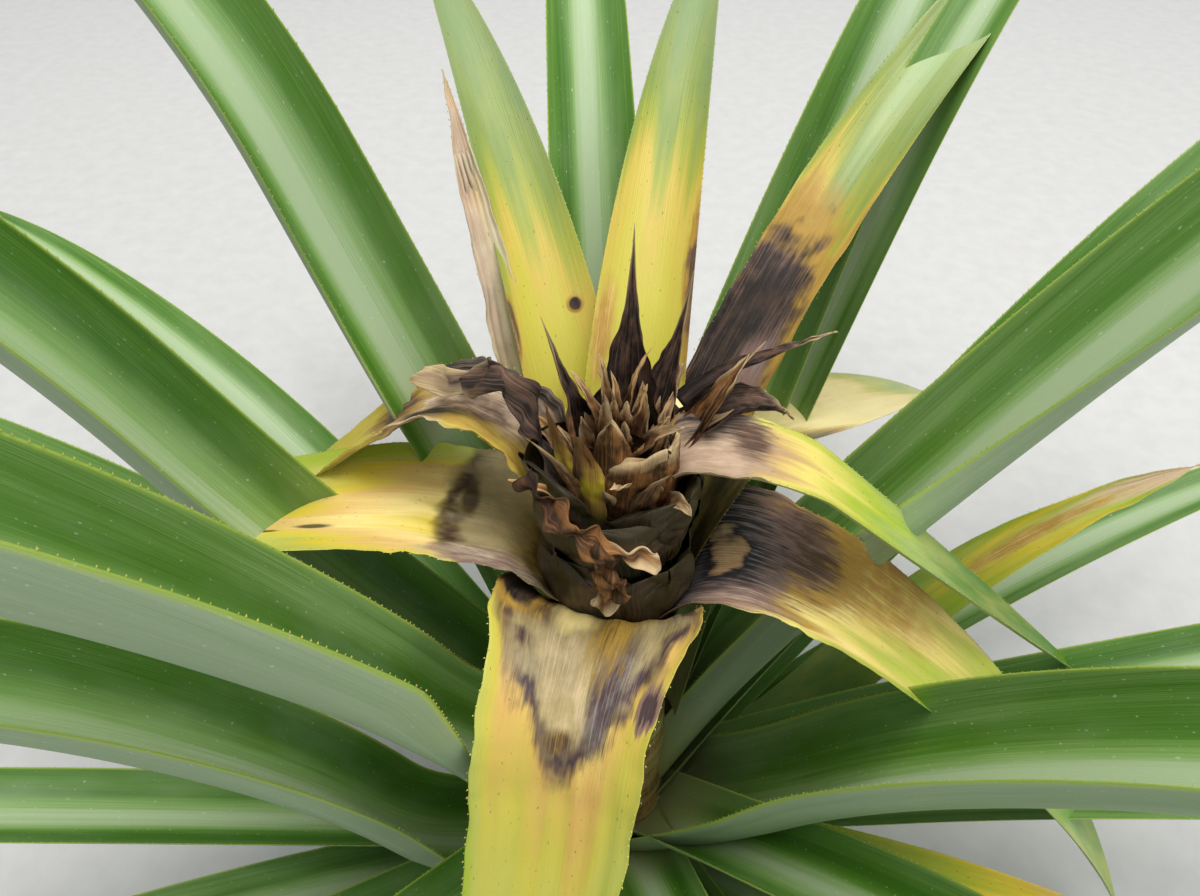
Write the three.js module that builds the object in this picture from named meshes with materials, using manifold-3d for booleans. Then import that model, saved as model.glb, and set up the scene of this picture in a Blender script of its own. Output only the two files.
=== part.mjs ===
// A field-grown pineapple plant: a rosette of gutter-shaped leaves on a short stem,
// with a rotted heart, collapsed yellow inner leaves and a scaly dead centre.
// Millimetres, +Z up, origin on the flat cut of the stem at ground level.
// Bearings are degrees round the stem: 0 is +X, 90 is +Y.

import * as THREE from "three";
import { mergeVertices } from "three/addons/utils/BufferGeometryUtils.js";
import Module from "manifold-3d";

const wasm = await Module();
wasm.setup();

// Driving dimensions

const HEART_HEIGHT = 400;      // middle of the dead centre above the ground
const STEM_FOOT_RADIUS = 36;
const STEM_TOP_RADIUS = 22;
const HEART_DROP = 62;         // how far the stem stops below the middle of the dead centre
const STEM_HEIGHT = HEART_HEIGHT - HEART_DROP;
const STEM_BULGE = 1.5;        // how far its middle stands out of a straight taper
const STEM_SHOULDER = 7;
const STEM_SIDES = 24;
const ROOT_SINK = 3;           // how far a leaf's foot starts inside the stem, before it is cut clear
const CLEARANCE = 0.3;         // gap between neighbours that touch on the real plant
const THICKNESS_SHARE = 0.012; // rib thickness over leaf length
const TAPER_POWER = 2.4;       // a leaf keeps its width for most of its length and then narrows
const TAPER_ROUNDING = 0.9;
const FLARE_REACH = 0.1;       // share of its length over which a leaf widens towards its foot
const GUTTER_REACH = 220;      // over this much of a leaf a deeper gutter takes shape
const MARGIN_SHARE = 0.12;     // margin thickness over rib thickness
const STATION_STEP = 105;      // longest stretch of blade between two sections
const GUTTER = [-1, -0.4, 0.4, 1]; // where a section has its points, as shares of its half width
const KEEL = [-1, 0, 1];
const TIP_TAPER = 6;           // the blade thins over the last sixth of its length
const SMOOTHING = 0.08;        // facets finer than this are merged after a cut

const HEART_CORE_RADIUS = 19;
const HEART_CORE_HEIGHT = 62;
const HEART_SIDES = 14;
const HEART_PROFILE = [[1, 0], [0.9, 0.4], [0.4, 0.85]]; // shares of the core's radius and height
const BRACT_THICKNESS = 1.6;
const BRACT_ROOT_SHARE = 0.8;  // where a bract starts, as a share of the core's radius at its height
const BRACT_BEND_SHARE = 0.6;  // where it bends, as a share of its length
const BRACT_CUP = [60, 30];
const BRACT_BEND = [-18, 10, -25]; // how its climb departs from its lean at the foot, the bend and the tip
const BRACT_VARY = 12;
const BRACT_TAPER = 1.7;
const BRACT_RINGS = [
  { count: 7, height: 10, length: 44, lean: 52, width: 17 },
  { count: 6, height: 24, length: 40, lean: 60, width: 15 },
  { count: 5, height: 38, length: 34, lean: 68, width: 13 },
  { count: 3, height: 50, length: 28, lean: 78, width: 11 },
];

const COLOURS = {
  green: 0x4f7f45,
  yellow: 0xc9bd4a,
  scorched: 0x6b5138,
  stem: 0x8a8a5c,
  dead: 0x7a5f45,
};

// Families of leaves. stops are distances from the foot at which a leaf's climb is given, in
// degrees above level, and cup says how far its section is curled, as the half angle of its arc

const GREEN = {
  stops: [0, 180, 380, 800],
  cup: { at: [0, 150, 900], angle: [75, 62, 52] },
  section: GUTTER,
  flare: 0.15,
  paint: "green",
};
const LOW = { ...GREEN, section: KEEL };
const UPRIGHT = {
  stops: [0, 60, 200, 500],
  cup: { at: [0, 100, 500], angle: [78, 50, 40] },
  section: GUTTER,
  flare: 0.15,
  paint: "yellow",
};
const COLLAPSED = {
  stops: [0, 90, 125, 190, 570],
  cup: { at: [0, 90, 560], angle: [70, 38, 30] },
  section: GUTTER,
  flare: 0,
  paint: "scorched",
};
const DEAD = {
  stops: [0, 30, 60, 110],
  cup: { at: [0, 110], angle: [65, 30] },
  section: GUTTER,
  flare: 0,
  taper: 0.9,
  paint: "dead",
};

// A leaf by its family, bearing, foot height, length, width, and its climb at the family's stops

function leaf(family, name, bearing, foot, length, width, climb, extra = {}) {
  const startRadius = stemRadius(foot) - ROOT_SINK;
  return { ...family, name, bearing, foot, startRadius, length, width, climb, turn: 0, roll: 0, gutter: 0, ...extra };
}

// The inner leaves, from the heart outwards. Each is cut clear of those before it.

const INNER_LEAVES = [
  leaf(COLLAPSED, "leaf_bent_right", -8, 262, 450, 50, [80, 102, 0, -41, -46], { turn: 16 }),
  leaf(COLLAPSED, "leaf_withered_left", 159, 244, 430, 62, [84, 81, 50, -42, -55], { turn: 4, gutter: -11 }),
  leaf(COLLAPSED, "leaf_yellow_left", 180, 218, 470, 100, [96, 58, 12, -9, -58], { turn: -16, roll: 8, gutter: -16 }),
  leaf(COLLAPSED, "leaf_front_hanging", 259, 210, 500, 87, [84, 72, 10, -60, -36], { turn: -9 }),
  leaf(COLLAPSED, "leaf_front_right", -11, 210, 520, 91, [104, 58, -18, -36, -66], { turn: -5 }),
  leaf(UPRIGHT, "leaf_upright_right", 84, 206, 500, 64, [80, 75, 38, 18], { turn: -9 }),
  leaf(UPRIGHT, "leaf_scorched_right", 49.5, 200, 780, 54, [92, 70, 44, 14], { turn: -4 }),
  leaf(UPRIGHT, "leaf_upright_left", 107, 194, 500, 62, [80, 72, 42, 15], { turn: 6 }),
  leaf(UPRIGHT, "leaf_withered_back", 122, 190, 340, 36, [71, 58, 60, 50], { turn: -9 }),
  leaf(COLLAPSED, "leaf_yellow_right", 39, 250, 500, 70, [94, 46, -22, -25, -38], { turn: 18, roll: 6, gutter: -14 }),
];

// Short dead leaves that stand round the heart

const DEAD_LEAVES = [
  leaf(DEAD, "dead_leaf_back", 82, 350, 122, 60, [88, 86, 80, 86], { startRadius: 21 }),
  leaf(DEAD, "dead_leaf_back_right", 52, 350, 98, 46, [80, 72, 70, 80], { startRadius: 24 }),
  leaf(DEAD, "dead_leaf_left", 158, 350, 90, 46, [88, 84, 76, 66], { startRadius: 22 }),
  leaf(DEAD, "dead_leaf_front", 292, 338, 70, 50, [84, 74, 56, 30], { startRadius: 26 }),
  leaf(DEAD, "dead_leaf_front_left", 218, 336, 78, 46, [86, 76, 60, 40], { startRadius: 25 }),
  leaf(DEAD, "dead_leaf_right", 22, 344, 86, 46, [80, 66, 48, 30], { startRadius: 27 }),
];

// The green leaves of the crown

const CROWN_LEAVES = [
  leaf(GREEN, "leaf_back", 94, 120, 790, 72, [64, 60, 48, 20]),
  leaf(GREEN, "leaf_back_right", 57, 146, 780, 78, [66, 51, 46, 18], { turn: -5, roll: 10 }),
  leaf(GREEN, "leaf_back_left", 149, 125, 800, 86, [74, 65, 67, -8], { turn: 16, roll: -12, gutter: 24 }),
  leaf(GREEN, "leaf_back_right_outer", 47.5, 100, 790, 58, [61, 61, 55, 5], { turn: -3, roll: 2 }),
  leaf(GREEN, "leaf_front_left", 225, 104, 820, 108, [49, 68, 63, 44], { turn: 11, roll: -8, gutter: 28 }),
  leaf(GREEN, "leaf_right", 11, 76, 820, 104, [67, 57, 58, 44], { turn: -20, roll: 4, gutter: 14 }),
  leaf(GREEN, "leaf_left", 180, 65, 820, 96, [61, 58, 66, 30], { turn: 17, roll: -10, gutter: 28 }),
  leaf(GREEN, "leaf_right_outer", 22.5, 50, 820, 65, [60, 54, 47, 18], { turn: 4 }),
  leaf(GREEN, "leaf_back_left_outer", 124, 70, 780, 66, [50, 46, 30, -2]),
  leaf(GREEN, "leaf_back_outer", 63, 70, 770, 64, [50, 46, 28, -2]),
  leaf(GREEN, "leaf_left_outer", 167, 50, 780, 66, [40, 38, 24, -6]),
  leaf(GREEN, "leaf_front_left_arching", 238, 46, 720, 62, [46, 41, 24, -8]),
  leaf(GREEN, "leaf_front_arching", 284, 38, 680, 60, [42, 36, 16, -12]),
  leaf(GREEN, "leaf_front_right_arching", 311, 48, 740, 64, [48, 42, 24, -8]),
];

// The low leaves that spread near the ground

const LOW_LEAVES = [
  leaf(LOW, "leaf_low_right", -3, 34, 720, 62, [45, 27, 27, -12]),
  leaf(LOW, "leaf_low_front_right", -33, 22, 800, 110, [51, 62, 50, 0], { turn: -16, gutter: 28 }),
  leaf(LOW, "leaf_low_front_left", 209, 26, 800, 86, [20, 71, 61, 24], { turn: 13, roll: -10, gutter: 28 }),
  leaf(LOW, "leaf_low_left", 195, 12, 740, 60, [25, 32, 30, -12]),
  leaf(LOW, "leaf_low_right_dying", 14, 20, 440, 56, [20, 62, 15, -28], { turn: 2, roll: 28, paint: "yellow" }),
  leaf(LOW, "leaf_low_back_right", 33, 26, 700, 62, [40, 36, 18, -12]),
  leaf(LOW, "leaf_low_back", 91, 30, 740, 64, [46, 42, 24, -8]),
  leaf(LOW, "leaf_low_back_outer", 68, 14, 660, 58, [36, 30, 12, -12]),
  leaf(LOW, "leaf_low_back_left", 117, 14, 700, 60, [36, 32, 14, -12]),
  leaf(LOW, "leaf_low_back_left_outer", 144, 26, 740, 64, [44, 38, 20, -10]),
  leaf(LOW, "leaf_low_left_outer", 160, 16, 680, 58, [32, 30, 16, -14]),
  leaf(LOW, "leaf_low_front_left_outer", 206, 8, 650, 56, [22, 26, 18, -12]),
  leaf(LOW, "leaf_low_front_left_short", 219, 14, 600, 58, [30, 30, 10, -14]),
  leaf(LOW, "leaf_low_front", 248, 12, 600, 58, [26, 20, 6, -14]),
  leaf(LOW, "leaf_low_front_middle", 272, 14, 640, 60, [30, 22, 6, -16]),
  leaf(LOW, "leaf_low_front_short", 297, 12, 600, 58, [30, 22, 8, -14]),
  leaf(LOW, "leaf_low_front_right_outer", 316, 14, 640, 58, [28, 34, 18, -12]),
  leaf(LOW, "leaf_low_dried_tip", 330, 20, 440, 50, [34, 30, 9, -10], { paint: "yellow" }),
  leaf(LOW, "leaf_low_right_outer", -9, 10, 640, 56, [26, 24, 12, -10]),
  leaf(LOW, "leaf_low_right_back", 19, 12, 660, 58, [32, 30, 14, -12]),
];

function stemRadius(height) {
  return STEM_FOOT_RADIUS + (STEM_TOP_RADIUS - STEM_FOOT_RADIUS) * (height / STEM_HEIGHT);
}

function between(stops, values, x) {
  if (x <= stops[0]) return values[0];
  for (let i = 1; i < stops.length; i += 1) {
    if (x <= stops[i]) {
      const share = (x - stops[i - 1]) / (stops[i] - stops[i - 1]);
      return values[i - 1] + (values[i] - values[i - 1]) * share;
    }
  }
  return values[values.length - 1];
}

function widthAt(blade, t) {
  const flare = 1 + blade.flare * Math.exp(-((t / FLARE_REACH) ** 2));
  return blade.width * flare * Math.max(0, 1 - t ** (blade.taper ?? TAPER_POWER)) ** TAPER_ROUNDING;
}

// Distances from the foot at which the blade has a section: at each stop, and evenly between them

function stationDistances(blade, step) {
  const distances = [0];
  blade.stops.slice(1).forEach((stop, i) => {
    const start = blade.stops[i];
    const end = i === blade.stops.length - 2 ? blade.length : Math.min(stop, blade.length);
    const pieces = Math.ceil((end - start) / step);
    for (let k = 1; k <= pieces; k += 1) distances.push(start + ((end - start) * k) / pieces);
  });
  return distances;
}

// Where the leaf's rib runs, and which way is sideways and up at each station

function ribOf(blade, step) {
  const rad = THREE.MathUtils.degToRad;
  const bearing = rad(blade.bearing);
  const place = new THREE.Vector3(Math.cos(bearing), Math.sin(bearing), 0).multiplyScalar(blade.startRadius);
  place.z = blade.foot;
  const stations = [];
  const headingAt = (t) => rad(blade.bearing + blade.turn * t);
  const climbAt = (t) => rad(between(blade.stops, blade.climb, t * blade.length));
  const forwardAt = (t) => new THREE.Vector3(
    Math.cos(climbAt(t)) * Math.cos(headingAt(t)),
    Math.cos(climbAt(t)) * Math.sin(headingAt(t)),
    Math.sin(climbAt(t)),
  );
  const distances = stationDistances(blade, step);
  for (let i = 0; i < distances.length; i += 1) {
    const t = distances[i] / blade.length;
    const forward = forwardAt(t);
    const side = new THREE.Vector3(Math.sin(headingAt(t)), -Math.cos(headingAt(t)), 0);
    side.applyAxisAngle(forward, rad(blade.roll));
    const up = new THREE.Vector3().crossVectors(side, forward);
    stations.push({ t, place: place.clone(), side, up });
    const reach = (distances[i + 1] ?? blade.length) - distances[i];
    place.addScaledVector(forwardAt(t + reach / (2 * blade.length)), reach);
  }
  return stations;
}

// One cross-section: an arc, thick at the rib and thin at the margins. The upper points
// run from margin to margin and the lower ones back. grow widens and thickens it all round.

function sectionPoints(blade, station, grow) {
  const { section } = blade;
  const { t, place, side, up } = station;
  const along = t * blade.length;
  const deeper = blade.gutter * Math.min(1, along / GUTTER_REACH);
  const curl = THREE.MathUtils.degToRad(between(blade.cup.at, blade.cup.angle, along) + deeper);
  const arc = (widthAt(blade, t) + 2 * grow) / (2 * curl);
  const rib = (blade.thick ?? blade.length * THICKNESS_SHARE) * Math.min(1, TIP_TAPER * (1 - t));
  const depthAt = (u) => rib * (MARGIN_SHARE + (1 - MARGIN_SHARE) * (1 - u * u)) + grow;
  const pointAt = (u, depth) => {
    const angle = u * curl;
    const radius = arc + depth;
    const point = place.clone();
    point.addScaledVector(side, radius * Math.sin(angle));
    point.addScaledVector(up, arc - radius * Math.cos(angle));
    return point;
  };
  const upper = section.map((u) => pointAt(u, -grow));
  const lower = [...section].reverse().map((u) => pointAt(u, depthAt(u)));
  return [...upper, ...lower];
}

// A blade joins its sections, closes flat at the foot and runs out in a spine at the tip.
// Its upper and lower quads are split along the same diagonal, so the thin margins don't cross.

function bladeSolid(blade, grow = 0, step = STATION_STEP) {
  const stations = ribOf(blade, step);
  const rings = stations.slice(0, -1).map((station) => sectionPoints(blade, station, grow));
  const around = rings[0].length;
  const half = around / 2;
  const points = [...rings.flat(), stations[stations.length - 1].place];
  const tip = points.length - 1;
  const at = (ring, k) => ring * around + (k % around);
  const triangles = [];
  for (let ring = 1; ring < rings.length; ring += 1) {
    for (let k = 0; k < around; k += 1) {
      const corners = [at(ring - 1, k), at(ring - 1, k + 1), at(ring, k + 1), at(ring, k)];
      const first = k < half ? 0 : 1;
      const [a, b, c, d] = [...corners.slice(first), ...corners.slice(0, first)];
      triangles.push([a, b, c], [a, c, d]);
    }
  }
  const last = rings.length - 1;
  for (let k = 0; k < around; k += 1) triangles.push([at(last, k), at(last, k + 1), tip]);
  for (let k = 0; k < half - 1; k += 1) {
    triangles.push([k + 1, k, around - 1 - k], [k + 1, around - 1 - k, around - 2 - k]);
  }
  return toSolid(points, triangles);
}

function toSolid(points, triangles) {
  const vertProperties = new Float32Array(points.flatMap((p) => [p.x, p.y, p.z]));
  const triVerts = new Uint32Array(triangles.flat());
  const mesh = new wasm.Mesh({ numProp: 3, vertProperties, triVerts });
  mesh.merge();
  const solid = new wasm.Manifold(mesh);
  return solid.volume() < 0 ? toSolid(points, triangles.map(([a, b, c]) => [a, c, b])) : solid;
}

function solidOf(geometry) {
  geometry.deleteAttribute("normal");
  geometry.deleteAttribute("uv");
  const merged = mergeVertices(geometry, 1e-3);
  const vertProperties = new Float32Array(merged.attributes.position.array);
  const triVerts = new Uint32Array(merged.index.array);
  return new wasm.Manifold(new wasm.Mesh({ numProp: 3, vertProperties, triVerts }));
}

function latheSolid(profile, sides) {
  const geometry = new THREE.LatheGeometry(profile.map(([r, z]) => new THREE.Vector2(r, z)), sides);
  geometry.rotateX(Math.PI / 2);
  return solidOf(geometry);
}

// The stem, with its true taper, from the flat cut at the ground to just under the heart

function stemSolid(grow = 0) {
  return latheSolid([
    [0, -grow],
    [STEM_FOOT_RADIUS + grow, -grow],
    [stemRadius(STEM_HEIGHT / 2) + STEM_BULGE + grow, STEM_HEIGHT / 2],
    [STEM_TOP_RADIUS + grow, STEM_HEIGHT - STEM_SHOULDER],
    [STEM_TOP_RADIUS - STEM_SHOULDER + grow, STEM_HEIGHT + grow],
    [0, STEM_HEIGHT + grow],
  ], STEM_SIDES);
}

// The dead centre: a cone with rings of curled pointed bracts standing out of it

function bract(ring, index) {
  const [foot, bend, tip] = BRACT_BEND.map((degrees) => ring.lean + degrees);
  const bearing = (360 / ring.count) * index + ring.height;
  const climb = [foot, bend, tip + BRACT_VARY * (index % 3)];
  return leaf(DEAD, "bract", bearing, STEM_HEIGHT + ring.height, ring.length, ring.width, climb, {
    startRadius: BRACT_ROOT_SHARE * HEART_CORE_RADIUS * (1 - ring.height / HEART_CORE_HEIGHT),
    stops: [0, BRACT_BEND_SHARE * ring.length, ring.length],
    cup: { at: [0, ring.length], angle: BRACT_CUP },
    taper: BRACT_TAPER,
    section: KEEL,
    thick: BRACT_THICKNESS,
  });
}

function heartSolid(grow = 0) {
  const base = STEM_HEIGHT + CLEARANCE;
  const side = HEART_PROFILE.map(([r, h]) => [HEART_CORE_RADIUS * r + grow, base + HEART_CORE_HEIGHT * h]);
  side[0][1] -= grow;
  let solid = latheSolid([[0, base - grow], ...side, [0, base + HEART_CORE_HEIGHT + grow]], HEART_SIDES);
  for (const ring of BRACT_RINGS) {
    for (let i = 0; i < ring.count; i += 1) solid = solid.add(bladeSolid(bract(ring, i), grow, ring.length));
  }
  return solid;
}

// What is left of a leaf after its neighbours are cut clear, without the scraps

function largestPiece(solid) {
  return solid.decompose().reduce((best, piece) => (piece.volume() > best.volume() ? piece : best));
}

function meshOf(name, solid, paint) {
  const { vertProperties, triVerts } = solid.getMesh();
  const geometry = new THREE.BufferGeometry();
  geometry.setAttribute("position", new THREE.BufferAttribute(new Float32Array(vertProperties), 3));
  geometry.setIndex(new THREE.BufferAttribute(new Uint32Array(triVerts), 1));
  geometry.computeVertexNormals();
  const material = new THREE.MeshStandardMaterial({ color: COLOURS[paint], roughness: 0.55, metalness: 0 });
  const mesh = new THREE.Mesh(geometry, material);
  mesh.name = name;
  return mesh;
}

const plant = new THREE.Group();
plant.name = "pineapple_plant";

const stem = stemSolid();
const heart = heartSolid();
plant.add(meshOf("stem", stem, "stem"));
plant.add(meshOf("heart", heart, "dead"));

let taken = stemSolid(CLEARANCE).add(heartSolid(CLEARANCE));
const leaves = [...DEAD_LEAVES, ...INNER_LEAVES, ...CROWN_LEAVES, ...LOW_LEAVES];
for (const each of leaves) {
  const clear = largestPiece(bladeSolid(each).subtract(taken)).simplify(SMOOTHING);
  plant.add(meshOf(each.name, clear, each.paint));
  taken = taken.add(bladeSolid(each, CLEARANCE));
}

export default plant;
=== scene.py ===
import math
import random
from dataclasses import dataclass, replace

import bpy
import numpy as np
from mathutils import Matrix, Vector


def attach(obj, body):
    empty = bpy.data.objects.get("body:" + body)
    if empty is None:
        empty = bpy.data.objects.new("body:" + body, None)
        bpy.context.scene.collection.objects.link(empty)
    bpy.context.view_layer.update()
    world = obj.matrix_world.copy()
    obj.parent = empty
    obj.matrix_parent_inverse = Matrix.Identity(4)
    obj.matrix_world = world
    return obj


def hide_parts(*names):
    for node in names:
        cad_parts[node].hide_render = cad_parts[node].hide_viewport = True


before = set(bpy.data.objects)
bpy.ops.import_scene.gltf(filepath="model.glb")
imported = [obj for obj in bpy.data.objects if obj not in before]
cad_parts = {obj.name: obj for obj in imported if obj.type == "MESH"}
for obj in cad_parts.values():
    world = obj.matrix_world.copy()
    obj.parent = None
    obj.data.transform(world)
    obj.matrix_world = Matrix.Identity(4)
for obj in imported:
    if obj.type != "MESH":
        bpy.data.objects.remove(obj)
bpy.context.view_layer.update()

# A field-grown pineapple plant: a rosette of gutter-shaped leaves on a short stem, with a
# rotted heart, collapsed yellow inner leaves and a scaly dead centre.
# Leaves are measured in millimetres and degrees, as the solids are. MM turns them into metres.
# Bearings run round the stem: 0 is +X, 90 is +Y, which is away from the camera.

MM = 0.001

# Driving dimensions of the plant, the same as the solids'

HEART_HEIGHT = 400
STEM_FOOT_RADIUS = 36
STEM_TOP_RADIUS = 22
HEART_DROP = 62
STEM_HEIGHT = HEART_HEIGHT - HEART_DROP
STEM_BULGE = 1.5
STEM_SHOULDER = 7
ROOT_SINK = 3
TAPER_ROUNDING = 0.9
FLARE_REACH = 0.1
GUTTER_REACH = 220
HEART_CORE_RADIUS = 19
HEART_CORE_HEIGHT = 62
RIB_STEPS = 240

# The stem's surface: cuts along it, and the pitch and depth of its leaf scars

STEM_SIDES = 72
STEM_CUTS = 90
SCAR_PITCH = 12
SCAR_DEPTH = 0.9
STEM_CREASE = 50

# The bracts of the dead centre, ring by ring from the foot. BRACT_BEND is added to a ring's lean
# at the foot, the bend and the tip. Each bract is then turned, sized and tinted at random.

BRACT_RINGS = (
    {"count": 7, "height": 10, "length": 50, "lean": 54, "width": 22},
    {"count": 6, "height": 24, "length": 46, "lean": 60, "width": 20},
    {"count": 4, "height": 38, "length": 40, "lean": 68, "width": 17},
    {"count": 3, "height": 50, "length": 32, "lean": 78, "width": 13},
)
BRACT_ROOT_SHARE = 0.8
BRACT_BEND_SHARE = 0.6
BRACT_CUP = (60, 30)
BRACT_BEND = (-18, 10, -25)
BRACT_VARY = 12
BRACT_SWAY = 19
BRACT_TAPER = 1.25
BRACT_TURN = 45
BRACT_SIZES = (0.7, 1.2)
BRACT_WIDTHS = (0.55, 1.05)

# Blades and spines. DEAD_SLIM and DEAD_WITHERED are tables of shares along a dead leaf, with
# the share of its width that is left there and how puckered it is. DRY_TONES tint dead pieces.

TIP_TAPER = 6
MARGIN_SHARE = 0.16
DEAD_SLIM = ((0.3, 0.45, 0.6, 0.75, 0.88, 1), (1.0, 0.85, 0.5, 0.32, 0.2, 0.1))
DEAD_WITHERED = ((0, 0.3, 0.55, 0.8), (0.3, 1, 0.5, 0))
DRY_TONES = ((0, (0.55, 0.5, 0.48)), (0.5, (1, 0.95, 0.9)), (1, (1, 0.72, 0.42)))
SPINE_SLIMNESS = 0.75
SPINE_HEIGHT = 1.0
SPINE_PITCH = 4.5
INNER_SPINE_PITCH = 4.0
SPINE_JITTER = (-0.25, 0.25)
SPINE_EDGE = 0.995
SPINE_LEAN = (0.75, 0.66)
SPINE_OFF_AXIS = (0.3, 0.2, 0.93)
SPINE_RUN = (0.1, 0.985)
SPINE_SIZES = (0.6, 1.15)
SCRAP_GRID = (10, 44)
SCRAP_WALL = 0.9
SCRAP_PUCKER = 9
SCRAP_PUCKER_SIZE = 0.008
SCRAP_RUN = 0.08

# Waves that a withered blade's folds, margins and torn end are made from, and a scrap's nicks
# and curls: height and pace

FOLD_WANDER = ((0.8, 17), (0.5, 41))
FOLD_SWELL = 29
MARGIN_DRIFT = (3, 0.13)
MARGIN_NOTCH_PACE = 0.19
MARGIN_NOTCHES = ((0.7, 0.47), (0.6, 1.3))
TEARS = ((1, 5), (0.7, 13), (0.5, 31))
SCRAP_NICKS = (0.3, 23)
SCRAP_CURLS = ((2.5, 19), (1.5, 47))
TEAR_LEVEL = 1.2
TEAR_REACH = 6

# Patterns on a surface: how many times a metre they vary along each of its directions

COARSE_VEINS = (620, 5, 1)
FINE_VEINS = (2100, 14, 1)
BROAD_BANDS = (75, 2.2, 1)
SPECKS = (620, 330, 1)
ROT_STREAKS = (520, 45, 1)
ROT_WANDER = (80, 65, 1)
DRY_FIBRES = (950, 22, 1)
DRY_PATCHES = (130, 70, 1)
DUSTY_BLOOM = (16, 4, 1)
YELLOW_MOTTLE = (60, 14, 1)
STEM_RINGS = (14, 14, 160)
STEM_FIBRES = (500, 500, 40)
SPINE_GRAIN = (300, 300, 300)
FLOOR_GRAIN = (40, 40, 40)

# Stage and light, in metres

FLOOR_SIZE = 12
FLOOR_DROP = 0.001
FLOOR_TONES = ((0.3, (0.55, 0.545, 0.535)), (0.7, (0.6, 0.595, 0.585)))
SKY_COLOUR = (0.93, 0.97, 1.0, 1)
SKY_STRENGTH = 0.52
KEY_LIGHT = {
    "place": (0.2, 0.1, 5.0), "target": (0, 0, 0.35), "size": 3.2, "power": 245, "colour": (1, 0.98, 0.95),
}
FILL_LIGHT = {"place": (3.2, -2.4, 3.0), "target": (0, 0, 0.3), "size": 4, "power": 60}

# Camera, as the photograph was taken: just above the heart, looking down at it

CAMERA_PLACE = (-0.0098, -0.3056, 0.6588)
CAMERA_PITCH = 47
CAMERA_LENS = 27
SENSOR_WIDTH = 36


# Families of leaves. stops are distances from the foot at which a leaf's climb is given, and
# cup says how far its section is curled there. rows_at says how far along each share of its
# rows of faces lies, so that they crowd where the leaf folds.

@dataclass
class Family:
    stops: tuple
    cup_at: tuple
    cup: tuple
    flare: float
    rib: float
    columns: int
    rows: int
    rows_at: tuple = ((0, 1), (0, 1))
    taper: float = 2.4


@dataclass
class Leaf:
    """A leaf by its bearing, foot height, length, width, and its climb at its family's stops."""

    family: Family
    name: str
    bearing: float
    foot: float
    length: float
    width: float
    climb: tuple
    turn: float = 0
    roll: float = 0
    gutter: float = 0
    start: float = None

    def __post_init__(self):
        if self.start is None:
            self.start = stem_radius(self.foot) - ROOT_SINK


def stem_radius(height):
    return STEM_FOOT_RADIUS + (STEM_TOP_RADIUS - STEM_FOOT_RADIUS) * height / STEM_HEIGHT


FOLD_ROWS = ((0, 0.16, 0.56, 1), (0, 0.14, 0.42, 1))
GREEN = Family((0, 180, 380, 800), (0, 150, 900), (75, 62, 52), 0.15, 3.2, 12, 64)
UPRIGHT = Family((0, 60, 200, 500), (0, 100, 500), (78, 50, 40), 0.15, 2.6, 20, 84)
COLLAPSED = Family(
    (0, 90, 125, 190, 570), (0, 90, 560), (70, 38, 30), 0, 2.2, 26, 120, FOLD_ROWS
)
DEAD = Family((0, 30, 60, 110), (0, 110), (65, 30), 0, 1.0, 18, 40, taper=0.9)

INNER_LEAVES = (
    Leaf(COLLAPSED, "leaf_bent_right", -8, 262, 450, 50, (80, 102, 0, -41, -46), turn=16),
    Leaf(
        COLLAPSED, "leaf_withered_left", 159, 244, 430, 62, (84, 81, 50, -42, -55),
        turn=4, gutter=-11,
    ),
    Leaf(
        COLLAPSED, "leaf_yellow_left", 180, 218, 470, 100, (96, 58, 12, -9, -58),
        turn=-16, roll=8, gutter=-16,
    ),
    Leaf(COLLAPSED, "leaf_front_hanging", 259, 210, 500, 87, (84, 72, 10, -60, -36), turn=-9),
    Leaf(COLLAPSED, "leaf_front_right", -11, 210, 520, 91, (104, 58, -18, -36, -66), turn=-5),
    Leaf(UPRIGHT, "leaf_upright_right", 84, 206, 500, 64, (80, 75, 38, 18), turn=-9),
    Leaf(UPRIGHT, "leaf_scorched_right", 49.5, 200, 780, 54, (92, 70, 44, 14), turn=-4),
    Leaf(UPRIGHT, "leaf_upright_left", 107, 194, 500, 62, (80, 72, 42, 15), turn=6),
    Leaf(UPRIGHT, "leaf_withered_back", 122, 190, 340, 36, (71, 58, 60, 50), turn=-9),
    Leaf(
        COLLAPSED, "leaf_yellow_right", 39, 250, 500, 70, (94, 46, -22, -25, -38),
        turn=18, roll=6, gutter=-14,
    ),
)

DEAD_LEAVES = (
    Leaf(DEAD, "dead_leaf_back", 82, 350, 122, 60, (88, 86, 80, 86), start=21),
    Leaf(DEAD, "dead_leaf_back_right", 52, 350, 98, 46, (80, 72, 70, 80), start=24),
    Leaf(DEAD, "dead_leaf_left", 158, 350, 90, 46, (88, 84, 76, 66), start=22),
    Leaf(DEAD, "dead_leaf_front", 292, 338, 70, 50, (84, 74, 56, 30), start=26),
    Leaf(DEAD, "dead_leaf_front_left", 218, 336, 78, 46, (86, 76, 60, 40), start=25),
    Leaf(DEAD, "dead_leaf_right", 22, 344, 86, 46, (80, 66, 48, 30), start=27),
)

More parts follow.
